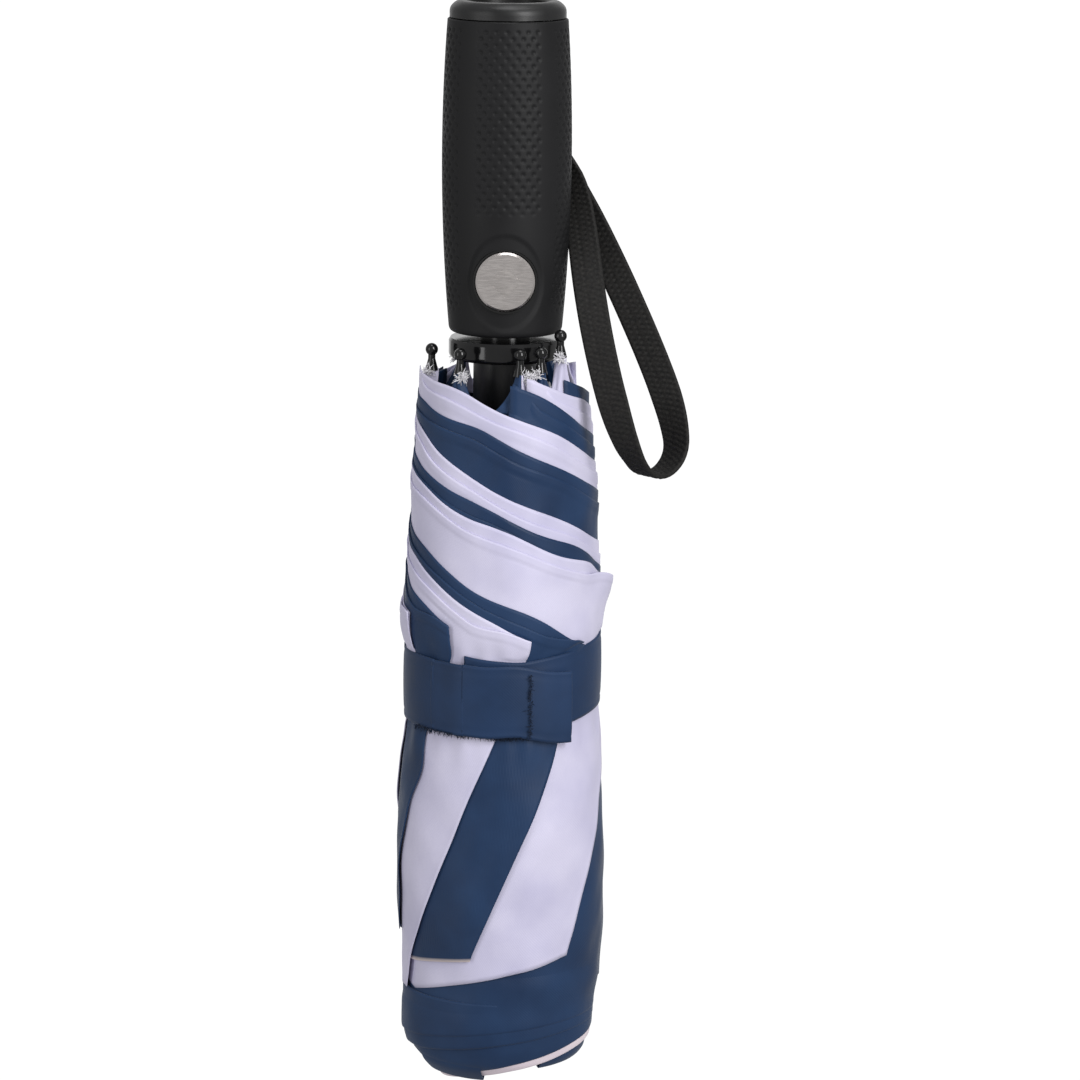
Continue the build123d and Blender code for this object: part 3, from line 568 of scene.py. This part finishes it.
# Each leaf is one gore's free part, wound round the ribs: its colour, its hem as (azimuth, height) from
# the rib tip to the free corner, its leading fold below that corner as (height, azimuth), and the height
# of its lower fold against azimuth.
LEAVES = [
    ("navy", [(-313, -95.8), (-90, -134.0), (-14, -150.9), (58, -166.5)],
     [(-166.5, 58), (-191, 36), (-209.6, 19), (-222, 7.5), (-250, -17.5)],
     lambda a: np.maximum(-262, -250 - 0.076 * (-17.5 - a))),
    ("lavender", [(-234, -95.8), (-64, -123.7), (-6, -134.1), (65, -146.2), (88, -151)],
     [(-151, 88), (-163, 96), (-177, 99), (-192, 92), (-206, 79), (-217, 67), (-230, 54), (-249.5, 41)],
     lambda a: np.maximum(-267, -249.5 - 0.118 * (41 - a))),
    ("navy", [(-190, -95.8), (-90, -115.4), (-6, -129.9), (65, -143.6), (155, -160)],
     [(-160, 155), (-170, 149), (-190, 133), (-222, 108), (-260, 84)],
     lambda a: -260 + 3 * smooth(60 - a, 0, 60)),
    ("lavender", [(-146, -97.0), (-70, -110.0), (-7, -124.4), (65, -137.8), (210, -163)],
     [(-163, 210), (-190, 189), (-222, 163), (-255, 134)], lambda a: -255 - 5 * smooth(134 - a, 0, 90)),
    ("navy", [(-130, -98.0), (-87, -102.2), (-45, -105.4), (-16, -108.6), (67, -124.8), (255, -159)],
     [(-159, 255), (-190, 230), (-222, 204), (-257, 176)], lambda a: -257 - 4 * smooth(176 - a, 0, 90)),
    ("lavender", [(-86, -95.4), (-42, -97.9), (6, -104.6), (70, -117.5), (270, -156.4), (297, -158.6)],
     [(-158.6, 297), (-165, 298), (-172, 299), (-190, 281), (-222, 254), (-258, 222)],
     lambda a: -258 - 4 * smooth(222 - a, 0, 90)),
    ("navy", [(6, -96.4), (29, -101.3), (46, -105), (70, -110.7), (270, -146.9), (329, -161)],
     [(-161, 329), (-169, 330), (-180, 318), (-190, 310), (-201, 309), (-209, 300), (-216, 296),
      (-223, 291), (-235, 288), (-247, 283)], lambda a: -247 - 14 * smooth(283 - a, 0, 80)),
    ("lavender", [(17, -94.9), (42, -99.2), (72, -103.9), (270, -139.1), (328, -152.1), (376, -164)],
     [(-164, 376), (-168.5, 375), (-190, 357), (-205, 343), (-217, 333), (-237, 315), (-253, 299),
      (-262, 291)], lambda a: -262 - 2 * smooth(291 - a, 0, 60)),
]
HEM_WIDTH = 2.7               # hem to its stitching
SEAM_STEP = 3.3               # the leaf's back ply shows this far above its hem


def ripple(theta, z):
    """Shared unevenness of the roll, in mm outward, so that layers keep their order."""
    t = np.radians(theta)
    value = 0.40 * np.sin(3 * t + 0.063 * z + 0.8) * np.sin(z * 0.055 + 1.1)
    value += 0.27 * np.sin(5 * t - 0.09 * z + 2.1) * np.sin(z * 0.093 + 0.4)
    value += 0.17 * np.sin(9 * t + 0.17 * z) * np.sin(z * 0.15 - 1.3)
    value += 0.10 * np.sin(14 * t - 0.22 * z + 1.7 * np.sin(4 * t)) * np.sin(z * 0.21 + 0.9)
    pinch = np.exp(-((z + 169) / 5.0) ** 2) + np.exp(-((z + 190) / 6.0) ** 2)
    value += 0.22 * pinch * np.sin(23 * t + 2.0 * np.sin(3 * t))
    calm = 1 - 0.75 * np.exp(-((z + 179.5) / 9.0) ** 4)
    return value * calm


def seam_step(s):
    """How much of the step between the two plies shows, along the hem."""
    return smooth(s, 0.01, 0.06) * (1 - smooth(s, 0.9, 0.985))


def leaf_grid(index, columns=176, rows=92):
    """Places along and down one leaf (0 to 1), its azimuth and its height; columns run along the hem."""
    _, hem, edge, bottom_at = LEAVES[index]
    (tip, _), (corner, corner_z) = hem[0], hem[-1]
    s = np.linspace(0, 1, columns) ** 0.82
    v = np.concatenate([np.linspace(0, 0.10, 22)[:-1], np.linspace(0.10, 1, rows - 21)])
    s, v = s[:, None] * np.ones((1, rows)), np.ones((columns, 1)) * v[None, :]
    edge_z = np.linspace(edge[0][0], edge[-1][0], 200)
    edge_at = eased_profile(edge, 3.0)(edge_z)
    edge_at += edge[0][1] - edge_at[0]
    right_z = corner_z + (edge[-1][0] - corner_z) * v
    right = np.interp(-right_z, -edge_z, edge_at)
    left = tip - 60 * v
    theta = left + (right - left) * s
    foot = tip - 60 + (edge[-1][1] - tip + 60) * s
    hem_z = eased_profile(hem, 9.0)(tip + (corner - tip) * s)
    hem_z = hem_z - SEAM_STEP * seam_step(s)
    z = hem_z + (bottom_at(foot) - hem_z) * v
    z = z + 0.35 * np.sin(np.radians(theta) * 6 + index) * (1 - smooth(v, 0, 0.12)) * smooth(s, 0.05, 0.2)
    return s, v, theta, z


def leaf_radius(index, theta, z):
    """The roll's radius over one leaf, which starts an eighth of a turn after the leaf before it."""
    order = (theta + 288 - 45 * index) / 360.0
    blend = smooth(-z, 144, 158)
    growth = ROLL_GROWTH * (1 - blend) + (roll_out(z) - ROLL_IN) / 0.97 * blend
    return ROLL_IN + growth * np.clip(order, 0, 1.1) + ripple(theta, z)


def canopy_leaf(index):
    """One leaf: the hem doubled and stitched, its corner standing a little proud, a fold down its edge."""
    colour, hem, _, _ = LEAVES[index]
    (tip, _), (corner, corner_z) = hem[0], hem[-1]
    s, v, theta, z = leaf_grid(index)
    radius = leaf_radius(index, theta, z)
    below_hem = z[:, :1] - z
    arc = np.radians(theta[-1:, :] - theta) * 25.5
    hem = 1 - smooth(below_hem, HEM_WIDTH, HEM_WIDTH + 0.5)
    stitch = np.exp(-((below_hem - HEM_WIDTH) / 0.3) ** 2)
    pucker = 0.5 + 0.5 * np.sin(np.radians(theta) * 25.0 / 2.4 * 2 * math.pi / 6.28)
    radius = radius + 0.16 * hem - 0.26 * stitch * (0.6 + 0.4 * pucker)
    radius = radius + 0.16 * (1 - smooth(arc, 0.0, 1.6)) * smooth(-z, -corner_z + 1, -corner_z + 6)
    flare = 2.6 if index == 1 else 0.7
    reach = np.sqrt(arc**2 + (z - corner_z) ** 2)
    radius = radius + flare * np.exp(-(reach / 7.5) ** 2)
    root = 1 - smooth(s * (corner - tip), 2, 16)
    radius = radius - 2.3 * root * (1 - smooth(below_hem, 0, 9))
    beyond_strap = np.abs(z - BAND_Z - strap_height((theta + 25) % 360 - 25)) - BAND_HALF - 0.2
    radius = np.minimum(radius, BAND_R - 0.4 + 0.8 * np.maximum(beyond_strap, 0))
    thickness = (CLOTH + 0.12 * hem) * MM
    along = np.radians(theta - tip) * 25.0
    to_bottom = v - 0.988
    uv = np.stack([along, to_bottom * 10 if index == 0 else below_hem], 2)
    material = navy_edged_cloth if index == 0 else CLOTHS[colour]
    leaf = cloth_shell(f"canopy_leaf_{index + 1}", roll_points(theta, radius, z), thickness, uv, material,
                       outward=-1.0)
    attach(leaf, "canopy_frame")
    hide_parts("canopy")


def back_ply(index):
    """The strip of the gore's other half that shows above the hem, one layer further in."""
    colour, hem, _, _ = LEAVES[index]
    columns, rows = 150, 10
    s, _, theta, z = leaf_grid(index, columns)
    theta, z, s = theta[:, :rows], z[:, :1] * np.ones((1, rows)), s[:, :rows]
    fade = seam_step(s)
    theta = theta[:, :1] * np.ones((1, rows)) - 2 * (1 - fade)
    down = np.linspace(0, 9.0, rows)[None, :]
    z = z + SEAM_STEP * fade + 0.35 * np.sin(np.radians(theta) * 5 + 2 * index) - down
    radius = leaf_radius(index, theta, z) - 0.26
    uv = np.stack([np.radians(theta) * 25.0, down * np.ones_like(theta)], 2)
    ply = cloth_shell(f"canopy_back_ply_{index + 1}", roll_points(theta, radius, z), 0.2 * MM, uv, CLOTHS[colour],
                      outward=-1.0)
    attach(ply, "canopy_frame")


# ---------------------------------------------------------------- crown end of the roll
def skirt(name, top, bottom_at, radius_at, material, tuck, thickness=0.35, start=-180.0, end=180.0):
    """A band of cloth round the crown end that rolls under at its lower fold."""
    columns, rows, turn_from = 220, 34, 0.62
    closed = end - start >= 360
    theta = np.linspace(start, end, columns, endpoint=not closed)[:, None] * np.ones((1, rows))
    down = np.ones((columns, 1)) * np.linspace(0, 1, rows)[None, :]
    bottom = bottom_at(theta)
    fall = np.minimum(down / turn_from, 1)
    z = top + (bottom - top) * fall
    under = np.clip((down - turn_from) / (1 - turn_from), 0, 1)
    radius = radius_at(theta, z) + (1 - 0.5 * smooth(-z, 256, 266)) * ripple(theta, z)
    radius = radius - 0.8 * np.sin(under * math.pi / 2) - tuck * under**1.6
    z = z - 0.8 * np.sin(np.minimum(under * 1.6, 1) * math.pi / 2) + 2.0 * under**2
    uv = np.stack([np.radians(theta) * 25.0, -z], 2)
    obj = cloth_shell(name, roll_points(theta, radius, z), thickness * MM, uv, material, outward=-1.0,
                      closed=closed)
    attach(obj, "canopy_frame")


def turned(azimuth, peak):
    """1 on the side of the roll that the peak is on, -1 on the other."""
    return np.cos(np.radians(azimuth - peak))


def under_roll(azimuth, z):
    """The upper fold's radius: out of the roll just under the leaves, then a belly above its lower edge."""
    turn = (roll_out(z) - ROLL_IN) / 0.97 * (0.55 + 0.19 * turned(azimuth, 90))
    radius = ROLL_IN + turn - 0.7 + 1.0 * smooth(-z, 249, 258)
    belly = smooth(-z, 258, 268)
    return radius * (1 - belly) + (25.9 - 0.3 * turned(azimuth, 90)) * belly


crown_round = eased_profile([(-262, 25.6), (-270, 25.6), (-276, 25.3), (-280, 24.2), (-283, 21.6),
                             (-286, 17.5)], 1.2)


def crown_end():
    """Bulging folds under the roll: navy skirts, a pale selvedge between them, and the gathered centre."""
    skirt("canopy_crown_fold_upper", -246, lambda a: -272 + 4.0 * turned(a, 55),
          under_roll, navy_cloth, 2.6)
    skirt("canopy_crown_fold_middle", -262, lambda a: -275.0 + 4.2 * turned(a, 65),
          lambda a, z: crown_round(z) + 0.1 + 0.25 * turned(a, -80), navy_cloth, 2.4)
    skirt("canopy_crown_fold_lower", -266, lambda a: -279.6 + 6.0 * turned(a, 95),
          lambda a, z: crown_round(z) - 0.5 + 0.3 * turned(a, 100), navy_cloth, 2.2)
    skirt("canopy_crown_selvedge", -270, lambda a: -281.8 + 5.8 * turned(a, 95),
          lambda a, z: crown_round(z) - 0.9 + 0.3 * turned(a, 100), peach_cloth, 2.0)
    skirt("canopy_crown_flap_front", -272, lambda a: -283.0 + 2.0 * turned(a, 55),
          lambda a, z: crown_round(z) - 1.3, navy_cloth, 2.0, start=30, end=80)
    skirt("canopy_crown_flap_left", -272, lambda a: -285.3 + 0.8 * turned(a, -60),
          lambda a, z: crown_round(z + 1.5) - 1.4, navy_cloth, 2.0, start=-62, end=-12)
    skirt("canopy_crown_flap_back", -272, lambda a: -283.6 + 1.2 * turned(a, 180),
          lambda a, z: crown_round(z) - 2.4, lavender_cloth, 2.0, start=120, end=250)
    around, rings = 192, 26
    theta = np.linspace(-180, 180, around, endpoint=False)[:, None] * np.ones((1, rings))
    u = np.ones((around, 1)) * np.linspace(0, 1, rings)[None, :]
    pleat = np.sin(np.radians(theta) * 8 + 1.2 * np.sin(np.radians(theta) * 3)) * np.sin(u * math.pi)
    radius = 20.5 + (5.2 - 20.5) * u
    z = -277.5 - 5.6 * np.sin(u * math.pi / 2) - 0.8 * pleat
    theta = theta + 14 * u
    uv = np.stack([np.radians(theta) * 12.0, radius], 2)
    centre = cloth_shell("canopy_crown_centre", roll_points(theta, radius, z), 0.4 * MM, uv, navy_cloth,
                         outward=-1.0, closed=True)
    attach(centre, "canopy_frame")


# ---------------------------------------------------------------- closing strap
def ribbon(name, start, end, radius_at, height_at, material, body, thickness=0.75, columns=160, crown=0.25,
           half=1.0):
    """A strip of woven cloth round the roll; across runs from its top edge (-1) to its bottom edge (1)."""
    theta = np.linspace(start, end, columns)[:, None] * np.ones((1, 24))
    across = np.ones((columns, 1)) * np.linspace(-half, half, 24)[None, :]
    radius = radius_at(theta) + crown * (1 - across**2) - 0.12 * np.exp(-((np.abs(across) - 0.82) / 0.05) ** 2)
    points = roll_points(theta, radius, BAND_Z + height_at(theta, across) - across * BAND_HALF)
    edge = 0.45 + 0.55 * (1 - smooth(np.abs(across), 0.9 * half, half))
    uv = np.stack([np.radians(theta) * 26.0, across * BAND_HALF], 2)
    obj = cloth_shell(name, points, thickness * edge * MM, uv, material, outward=-1.0)
    if body:
        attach(obj, body)
    return obj


def closing_strap():
    """Woven strap: an under layer once round the roll, a bend at the peel line and the pressed-down tab."""
    under_wobble = lambda a, c: strap_height(a) + 0.25 * np.sin(np.radians(a) * 5)
    band = ribbon("closure_strap_cloth", -22, 318, lambda a: BAND_R + 0.35 * smooth(a, 290, 318),
                  under_wobble, strap_cloth, "canopy_frame", columns=240)
    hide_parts("closure_strap")
    droop = lambda a, c: -2.6 * smooth(a, 0, 42) ** 1.4 + 0.18 * np.sin(np.radians(a) * 11)
    tab = ribbon("closure_tab_cloth", -22, 41.5, lambda a: 27.45 + 0.35 * smooth(a, 33, 42),
                 droop, strap_cloth, "strap_tab", columns=70, thickness=0.8)
    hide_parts("closure_tab")
    bend = ribbon("closure_strap_bend", 316, 339, lambda a: 26.4 + 1.05 * smooth(a, 322, 338), lambda a, c: 0 * a,
                  strap_cloth, None, columns=40)
    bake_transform(bend)
    for name, radius, body, droop_at, node in (
            ("hook_pile_patch", 26.78, "strap_tab", droop, "hook_patch"),
            ("loop_pile_patch", 26.32, "canopy_frame", lambda a, c: -1.9 * smooth(a, 0, 42) ** 1.4, "loop_patch")):
        patch = ribbon(name, -13, 38, lambda a, r=radius: r + 0 * a, droop_at, hook_pile, body, thickness=0.3,
                       columns=50, crown=0.22, half=0.76)
        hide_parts(node)
    pile_threads()


def pile_threads():
    """The fuzzy sewn line across the tab and the pile that shows under its lower edge."""
    parts = []
    for k in range(150):
        z = BAND_Z + BAND_HALF - 0.9 - 17.0 * k / 149 - 1.1
        base = azimuth_point(16.0 + rng.normal(0, 0.5), 28.15 * MM, z * MM)
        tip = base + Vector((rng.normal(0, 0.5), -0.35, rng.normal(0, 0.35))) * MM
        parts.append(tube_along([base, (base + tip) / 2 + Vector((0, -0.1 * MM, 0)), tip],
                                [0.09 * MM, 0.08 * MM, 0.03 * MM], 4))
    line = join_parts("closure_tab_stitching", parts, hook_pile)
    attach(line, "strap_tab")
    fringes = {"closure_strap_fringe": [], "closure_tab_fringe": []}
    for k in range(520):
        azimuth = rng.choice([rng.uniform(-58, 14), rng.uniform(-6, 16)])
        radius = rng.uniform(26.2, 27.3) * MM
        base = azimuth_point(azimuth, radius, (BAND_Z - BAND_HALF + 0.4) * MM)
        tip = base + Vector((rng.normal(0, 0.5), rng.normal(-0.1, 0.3), -rng.uniform(0.3, 1.5))) * MM
        thread = tube_along([base, (base + tip) / 2, tip], [0.1 * MM, 0.08 * MM, 0.03 * MM], 4)
        fringes["closure_tab_fringe" if azimuth > TAB_ROOT else "closure_strap_fringe"].append(thread)
    for name, body in (("closure_strap_fringe", "canopy_frame"), ("closure_tab_fringe", "strap_tab")):
        pile = join_parts(name, fringes[name], hook_pile)
        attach(pile, body)


# ---------------------------------------------------------------- gathers and threads at the rib tips
TIPS = [(12, -89.5), (29, -89.2), (48, -85.3), (142, -90.5), (176, -90.0), (216, -90.0), (-80, -90.6),
        (-36, -90.0)]
TIP_COLOURS = [("navy", "lavender"), ("navy", "navy"), ("lavender", "lavender"), ("navy", "navy"),
               ("navy", "lavender"), ("lavender", "navy"), ("lavender", "lavender"), ("navy", "navy")]


def gather(index):
    """The cloth of two gores drawn together and sewn to one rib tip, one half in each colour."""
    azimuth, tip_z = TIPS[index]
    top = tip_z - 5.0
    for side, colour in zip((-1, 1), TIP_COLOURS[index]):
        columns, rows = 30, 18
        turn = np.linspace(0, math.pi, columns)[:, None] * np.ones((1, rows))
        down = np.ones((columns, 1)) * np.linspace(0, 1, rows)[None, :]
        spread = 1.75 + (2.2 + 1.6 * down) * down
        fold = 1 + 0.22 * np.sin(turn * 5 + index) * down
        width = spread * fold
        local_x = side * np.sin(turn) * width * (0.55 + 0.75 * down)
        local_y = np.cos(turn) * np.minimum(width, 1.75 - 0.3 * down) * (1 + 0.1 * np.sin(turn * 5 + index))
        z = top - (11.0 + 1.0 * np.sin(turn * 2 + index)) * down - (5 if index == 2 else 0) * down
        lean = 19.4 + 0.9 * smooth(down, 0.1, 0.8)
        t = math.radians(azimuth)
        x = np.sin(t) * (lean - local_y) + np.cos(t) * local_x
        y = -np.cos(t) * (lean - local_y) + np.sin(t) * local_x
        points = np.stack([x, y, z], 2) * MM
        uv = np.stack([turn * 3, down * 14], 2)
        obj = cloth_shell(f"canopy_gather_{index + 1}_{'right' if side > 0 else 'left'}", points, 0.2 * MM, uv,
                          CLOTHS[colour], outward=float(side))
        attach(obj, "canopy_frame")


def threads():
    """Loose sewing threads where the gathers are tied to the tips."""
    parts = []
    for number, (azimuth, tip_z) in enumerate(TIPS):
        strands, side = ((70, 1), (26, -1), (60, -1), (20, 1), (24, 1), (30, 1), (60, 1), (80, 1))[number]
        knot = azimuth_point(azimuth + 3.5 * side, 20.6 * MM, (tip_z - 5.6) * MM)
        drift = azimuth_point(azimuth + 60 * side, 1.0, 0.1)
        for _ in range(strands):
            point = knot + Vector(rng.normal(0, 0.45, 3)) * MM
            points, heading = [point], (drift * 0.7 + Vector(rng.normal(0, 0.8, 3))).normalized()
            for _ in range(4):
                heading = (heading + Vector(rng.normal(0, 0.4, 3))).normalized()
                points.append(points[-1] + heading * rng.uniform(0.25, 0.8) * MM)
            parts.append(tube_along(points, [0.13 * MM, 0.13 * MM, 0.12 * MM, 0.09 * MM, 0.05 * MM], 4))
    obj = join_parts("tip_threads", parts, thread_white)
    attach(obj, "canopy_frame")


# ---------------------------------------------------------------- wrist strap
STRAP_TOP_Z, STRAP_HANG = -37.0, 0.973   # where the strap leaves the handle, and how far down its points hang
STRAP_ROUTE = [(x, y, STRAP_TOP_Z + STRAP_HANG * (z - STRAP_TOP_Z)) for x, y, z in [
    (8.6, 11.5, -37.0), (12.6, 13.2, -41.0), (17.0, 11.2, -49.0), (21.8, 8.2, -58.0),
    (27.0, 4.6, -68.6), (32.4, 0.6, -80.0), (37.6, -3.0, -91.6), (41.9, -5.4, -102.4),
    (44.4, -6.4, -111.0), (45.3, -7.4, -118.6), (41.7, -10.9, -123.8), (36.7, -15.9, -123.6),
    (33.3, -19.3, -118.2), (30.2, -18.9, -110.6), (27.4, -17.2, -101.5), (25.0, -14.6, -91.8),
    (22.9, -10.8, -81.8), (21.2, -5.6, -71.6), (19.9, 0.4, -61.4), (18.2, 6.4, -51.4),
    (15.3, 10.6, -42.6), (11.5, 8.6, -37.0),
]]
WEBBING_WIDTH, WEBBING_THICKNESS = 8.2, 1.15


def spline_points(route, resolution):
    """Points along one smooth NURBS line with the route's points as its control points."""
    curve = bpy.data.curves.new("route", "CURVE")
    curve.dimensions = "3D"
    spline = curve.splines.new("NURBS")
    spline.points.add(len(route) - 1)
    for point, place in zip(spline.points, route):
        point.co = (*(c * MM for c in place), 1)
    spline.order_u = 3
    spline.use_endpoint_u = True
    curve.resolution_u = resolution
    obj = bpy.data.objects.new("route", curve)
    bpy.context.scene.collection.objects.link(obj)
    bpy.context.view_layer.update()
    mesh = bpy.data.meshes.new_from_object(obj)
    line = np.array([v.co[:] for v in mesh.vertices])
    bpy.data.objects.remove(obj)
    return line


def evenly(line, step):
    lengths = np.concatenate([[0], np.cumsum(np.linalg.norm(np.diff(line, axis=0), axis=1))])
    places = np.linspace(0, lengths[-1], int(round(lengths[-1] / step)) + 1)
    return np.stack([np.interp(places, lengths, line[:, k]) for k in range(3)], 1), lengths[-1]


# Which way the webbing's width points, at fractions of its length.
STRAP_FACING = [(0.0, (0.707, -0.707, 0.0)), (0.10, (0.80, -0.45, 0.25)), (0.22, (0.93, -0.05, 0.36)),
                (0.38, (0.93, -0.15, 0.30)), (0.455, (0.75, -0.62, 0.10)), (0.50, (0.66, -0.75, 0.0)),
                (0.55, (0.72, -0.66, -0.05)), (0.63, (0.93, -0.25, 0.22)), (0.80, (0.96, -0.02, 0.12)),
                (0.90, (0.85, -0.45, 0.0)), (1.0, (0.707, -0.707, 0.0))]


def wrist_webbing():
    """Ribbed flat webbing, from the pin down, round the fold and back to the pin."""
    line, length = evenly(spline_points(STRAP_ROUTE, 24), 0.25 * MM)
    narrow = 1 - 0.18 * (1 - smooth(np.minimum(np.arange(len(line)), np.arange(len(line))[::-1]) * 0.25, 6, 16))
    count = len(line)
    at = np.linspace(0, 1, count)
    keys = [f for f, _ in STRAP_FACING]
    width_way = np.stack([np.interp(at, keys, [d[k] for _, d in STRAP_FACING]) for k in range(3)], 1)
    ahead = np.gradient(line, axis=0)
    ahead /= np.linalg.norm(ahead, axis=1, keepdims=True)
    width_way -= ahead * np.sum(width_way * ahead, axis=1, keepdims=True)
    width_way /= np.linalg.norm(width_way, axis=1, keepdims=True)
    face_way = np.cross(ahead, width_way)
    half_w, half_t = WEBBING_WIDTH / 2, WEBBING_THICKNESS / 2
    across = np.linspace(-1, 1, 23)
    edge = np.sqrt(np.maximum(1 - np.clip((np.abs(across) - 0.88) / 0.12, 0, 1) ** 2, 0))
    section = [(a * half_w, half_t * e, abs(a)) for a, e in zip(across, edge)]
    section += [(a * half_w, -half_t * e, abs(a)) for a, e in zip(across[::-1][1:-1], edge[::-1][1:-1])]
    places = np.arange(count) * 0.25
    rings = []
    for k, (x, y, a) in enumerate(section):
        column = math.floor((x / half_w + 1) * 2.5)
        rib = 0.13 * np.cos(places * 2 * math.pi / 1.5 + math.pi * column) * (1 if a < 0.86 else 0.2)
        valley = -0.10 * math.exp(-(((x / half_w + 1) * 2.5 % 1 - 0.0) / 0.12) ** 2)
        sign = 1 if y >= 0 else -1
        depth = y + sign * (rib + valley) * (edge_weight(a))
        rings.append(line + width_way * (x * MM * narrow)[:, None] + face_way * (depth * MM)[:, None])
    points = np.stack(rings, 1)
    size = len(section)
    faces = []
    for i in range(count - 1):
        for k in range(size):
            a, b = i * size + k, i * size + (k + 1) % size
            faces.append((a, b, b + size, a + size))
    faces.append(tuple(range(size))[::-1])
    faces.append(tuple(range((count - 1) * size, count * size)))
    obj = new_object("wrist_webbing", points.reshape(-1, 3), faces, None, webbing)
    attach(obj, "wrist_loop")
    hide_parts("wrist_strap")


def edge_weight(a):
    """How much of the webbing's rib shows: little of it on the selvedges."""
    return 1.0 if a < 0.9 else 0.3


# ---------------------------------------------------------------- stage, light and camera
BACKDROP_LIGHT, ROOM_LIGHT = 1.05, 0.42


def studio():
    """White behind the object as seen from the front, a dim grey room elsewhere."""
    world = bpy.data.worlds.new("studio")
    bpy.context.scene.world = world
    world.use_nodes = True
    nodes, links = world.node_tree.nodes, world.node_tree.links
    place = nodes.new("ShaderNodeTexCoord")
    split = nodes.new("ShaderNodeSeparateXYZ")
    links.new(place.outputs["Generated"], split.inputs["Vector"])
    behind = map_range(nodes, links, split.outputs["Y"], 0.80, 0.88, ROOM_LIGHT, BACKDROP_LIGHT)
    links.new(behind, nodes["Background"].inputs["Strength"])
    nodes["Background"].inputs["Color"].default_value = (1, 1, 1, 1)


def area_light(name, place, target, size, power):
    data = bpy.data.lights.new(name, "AREA")
    data.shape = "RECTANGLE"
    data.size, data.size_y = size
    data.energy = power
    obj = bpy.data.objects.new(name, data)
    bpy.context.scene.collection.objects.link(obj)
    obj.location = place
    obj.rotation_euler = (Vector(target) - Vector(place)).to_track_quat("-Z", "Y").to_euler()


CAMERA_BACK, CAMERA_UP, CAMERA_RIGHT = 1.100, 0.082, 0.00965
LOOK_DOWN, ROLL, LENS = 11.5, 0.615, 141.7


def camera():
    data = bpy.data.cameras.new("camera")
    data.lens = LENS
    data.sensor_width = 36
    data.clip_start = 0.05
    obj = bpy.data.objects.new("camera", data)
    bpy.context.scene.collection.objects.link(obj)
    turn = Matrix.Rotation(math.radians(90 - LOOK_DOWN), 4, "X") @ Matrix.Rotation(math.radians(ROLL), 4, "Z")
    obj.matrix_world = Matrix.Translation((CAMERA_RIGHT, -CAMERA_BACK, CAMERA_UP)) @ turn
    bpy.context.scene.camera = obj


bpy.context.scene.view_settings.view_transform = "Standard"
dress_nodes()
grip_sleeve()
button_coil()
button_arrows()
for leaf_index in range(len(LEAVES)):
    canopy_leaf(leaf_index)
    back_ply(leaf_index)
crown_end()
closing_strap()
for tip_index in range(len(TIPS)):
    gather(tip_index)
threads()
wrist_webbing()
studio()
area_light("key", (0.60, -0.85, 0.30), (0, 0, -0.14), (0.35, 0.9), 9.5)
area_light("fill", (-0.85, -0.7, 0.05), (0, 0, -0.15), (0.35, 0.9), 2.6)
area_light("top", (0.1, -0.1, 0.9), (0, 0, -0.1), (0.5, 0.5), 3)
camera()
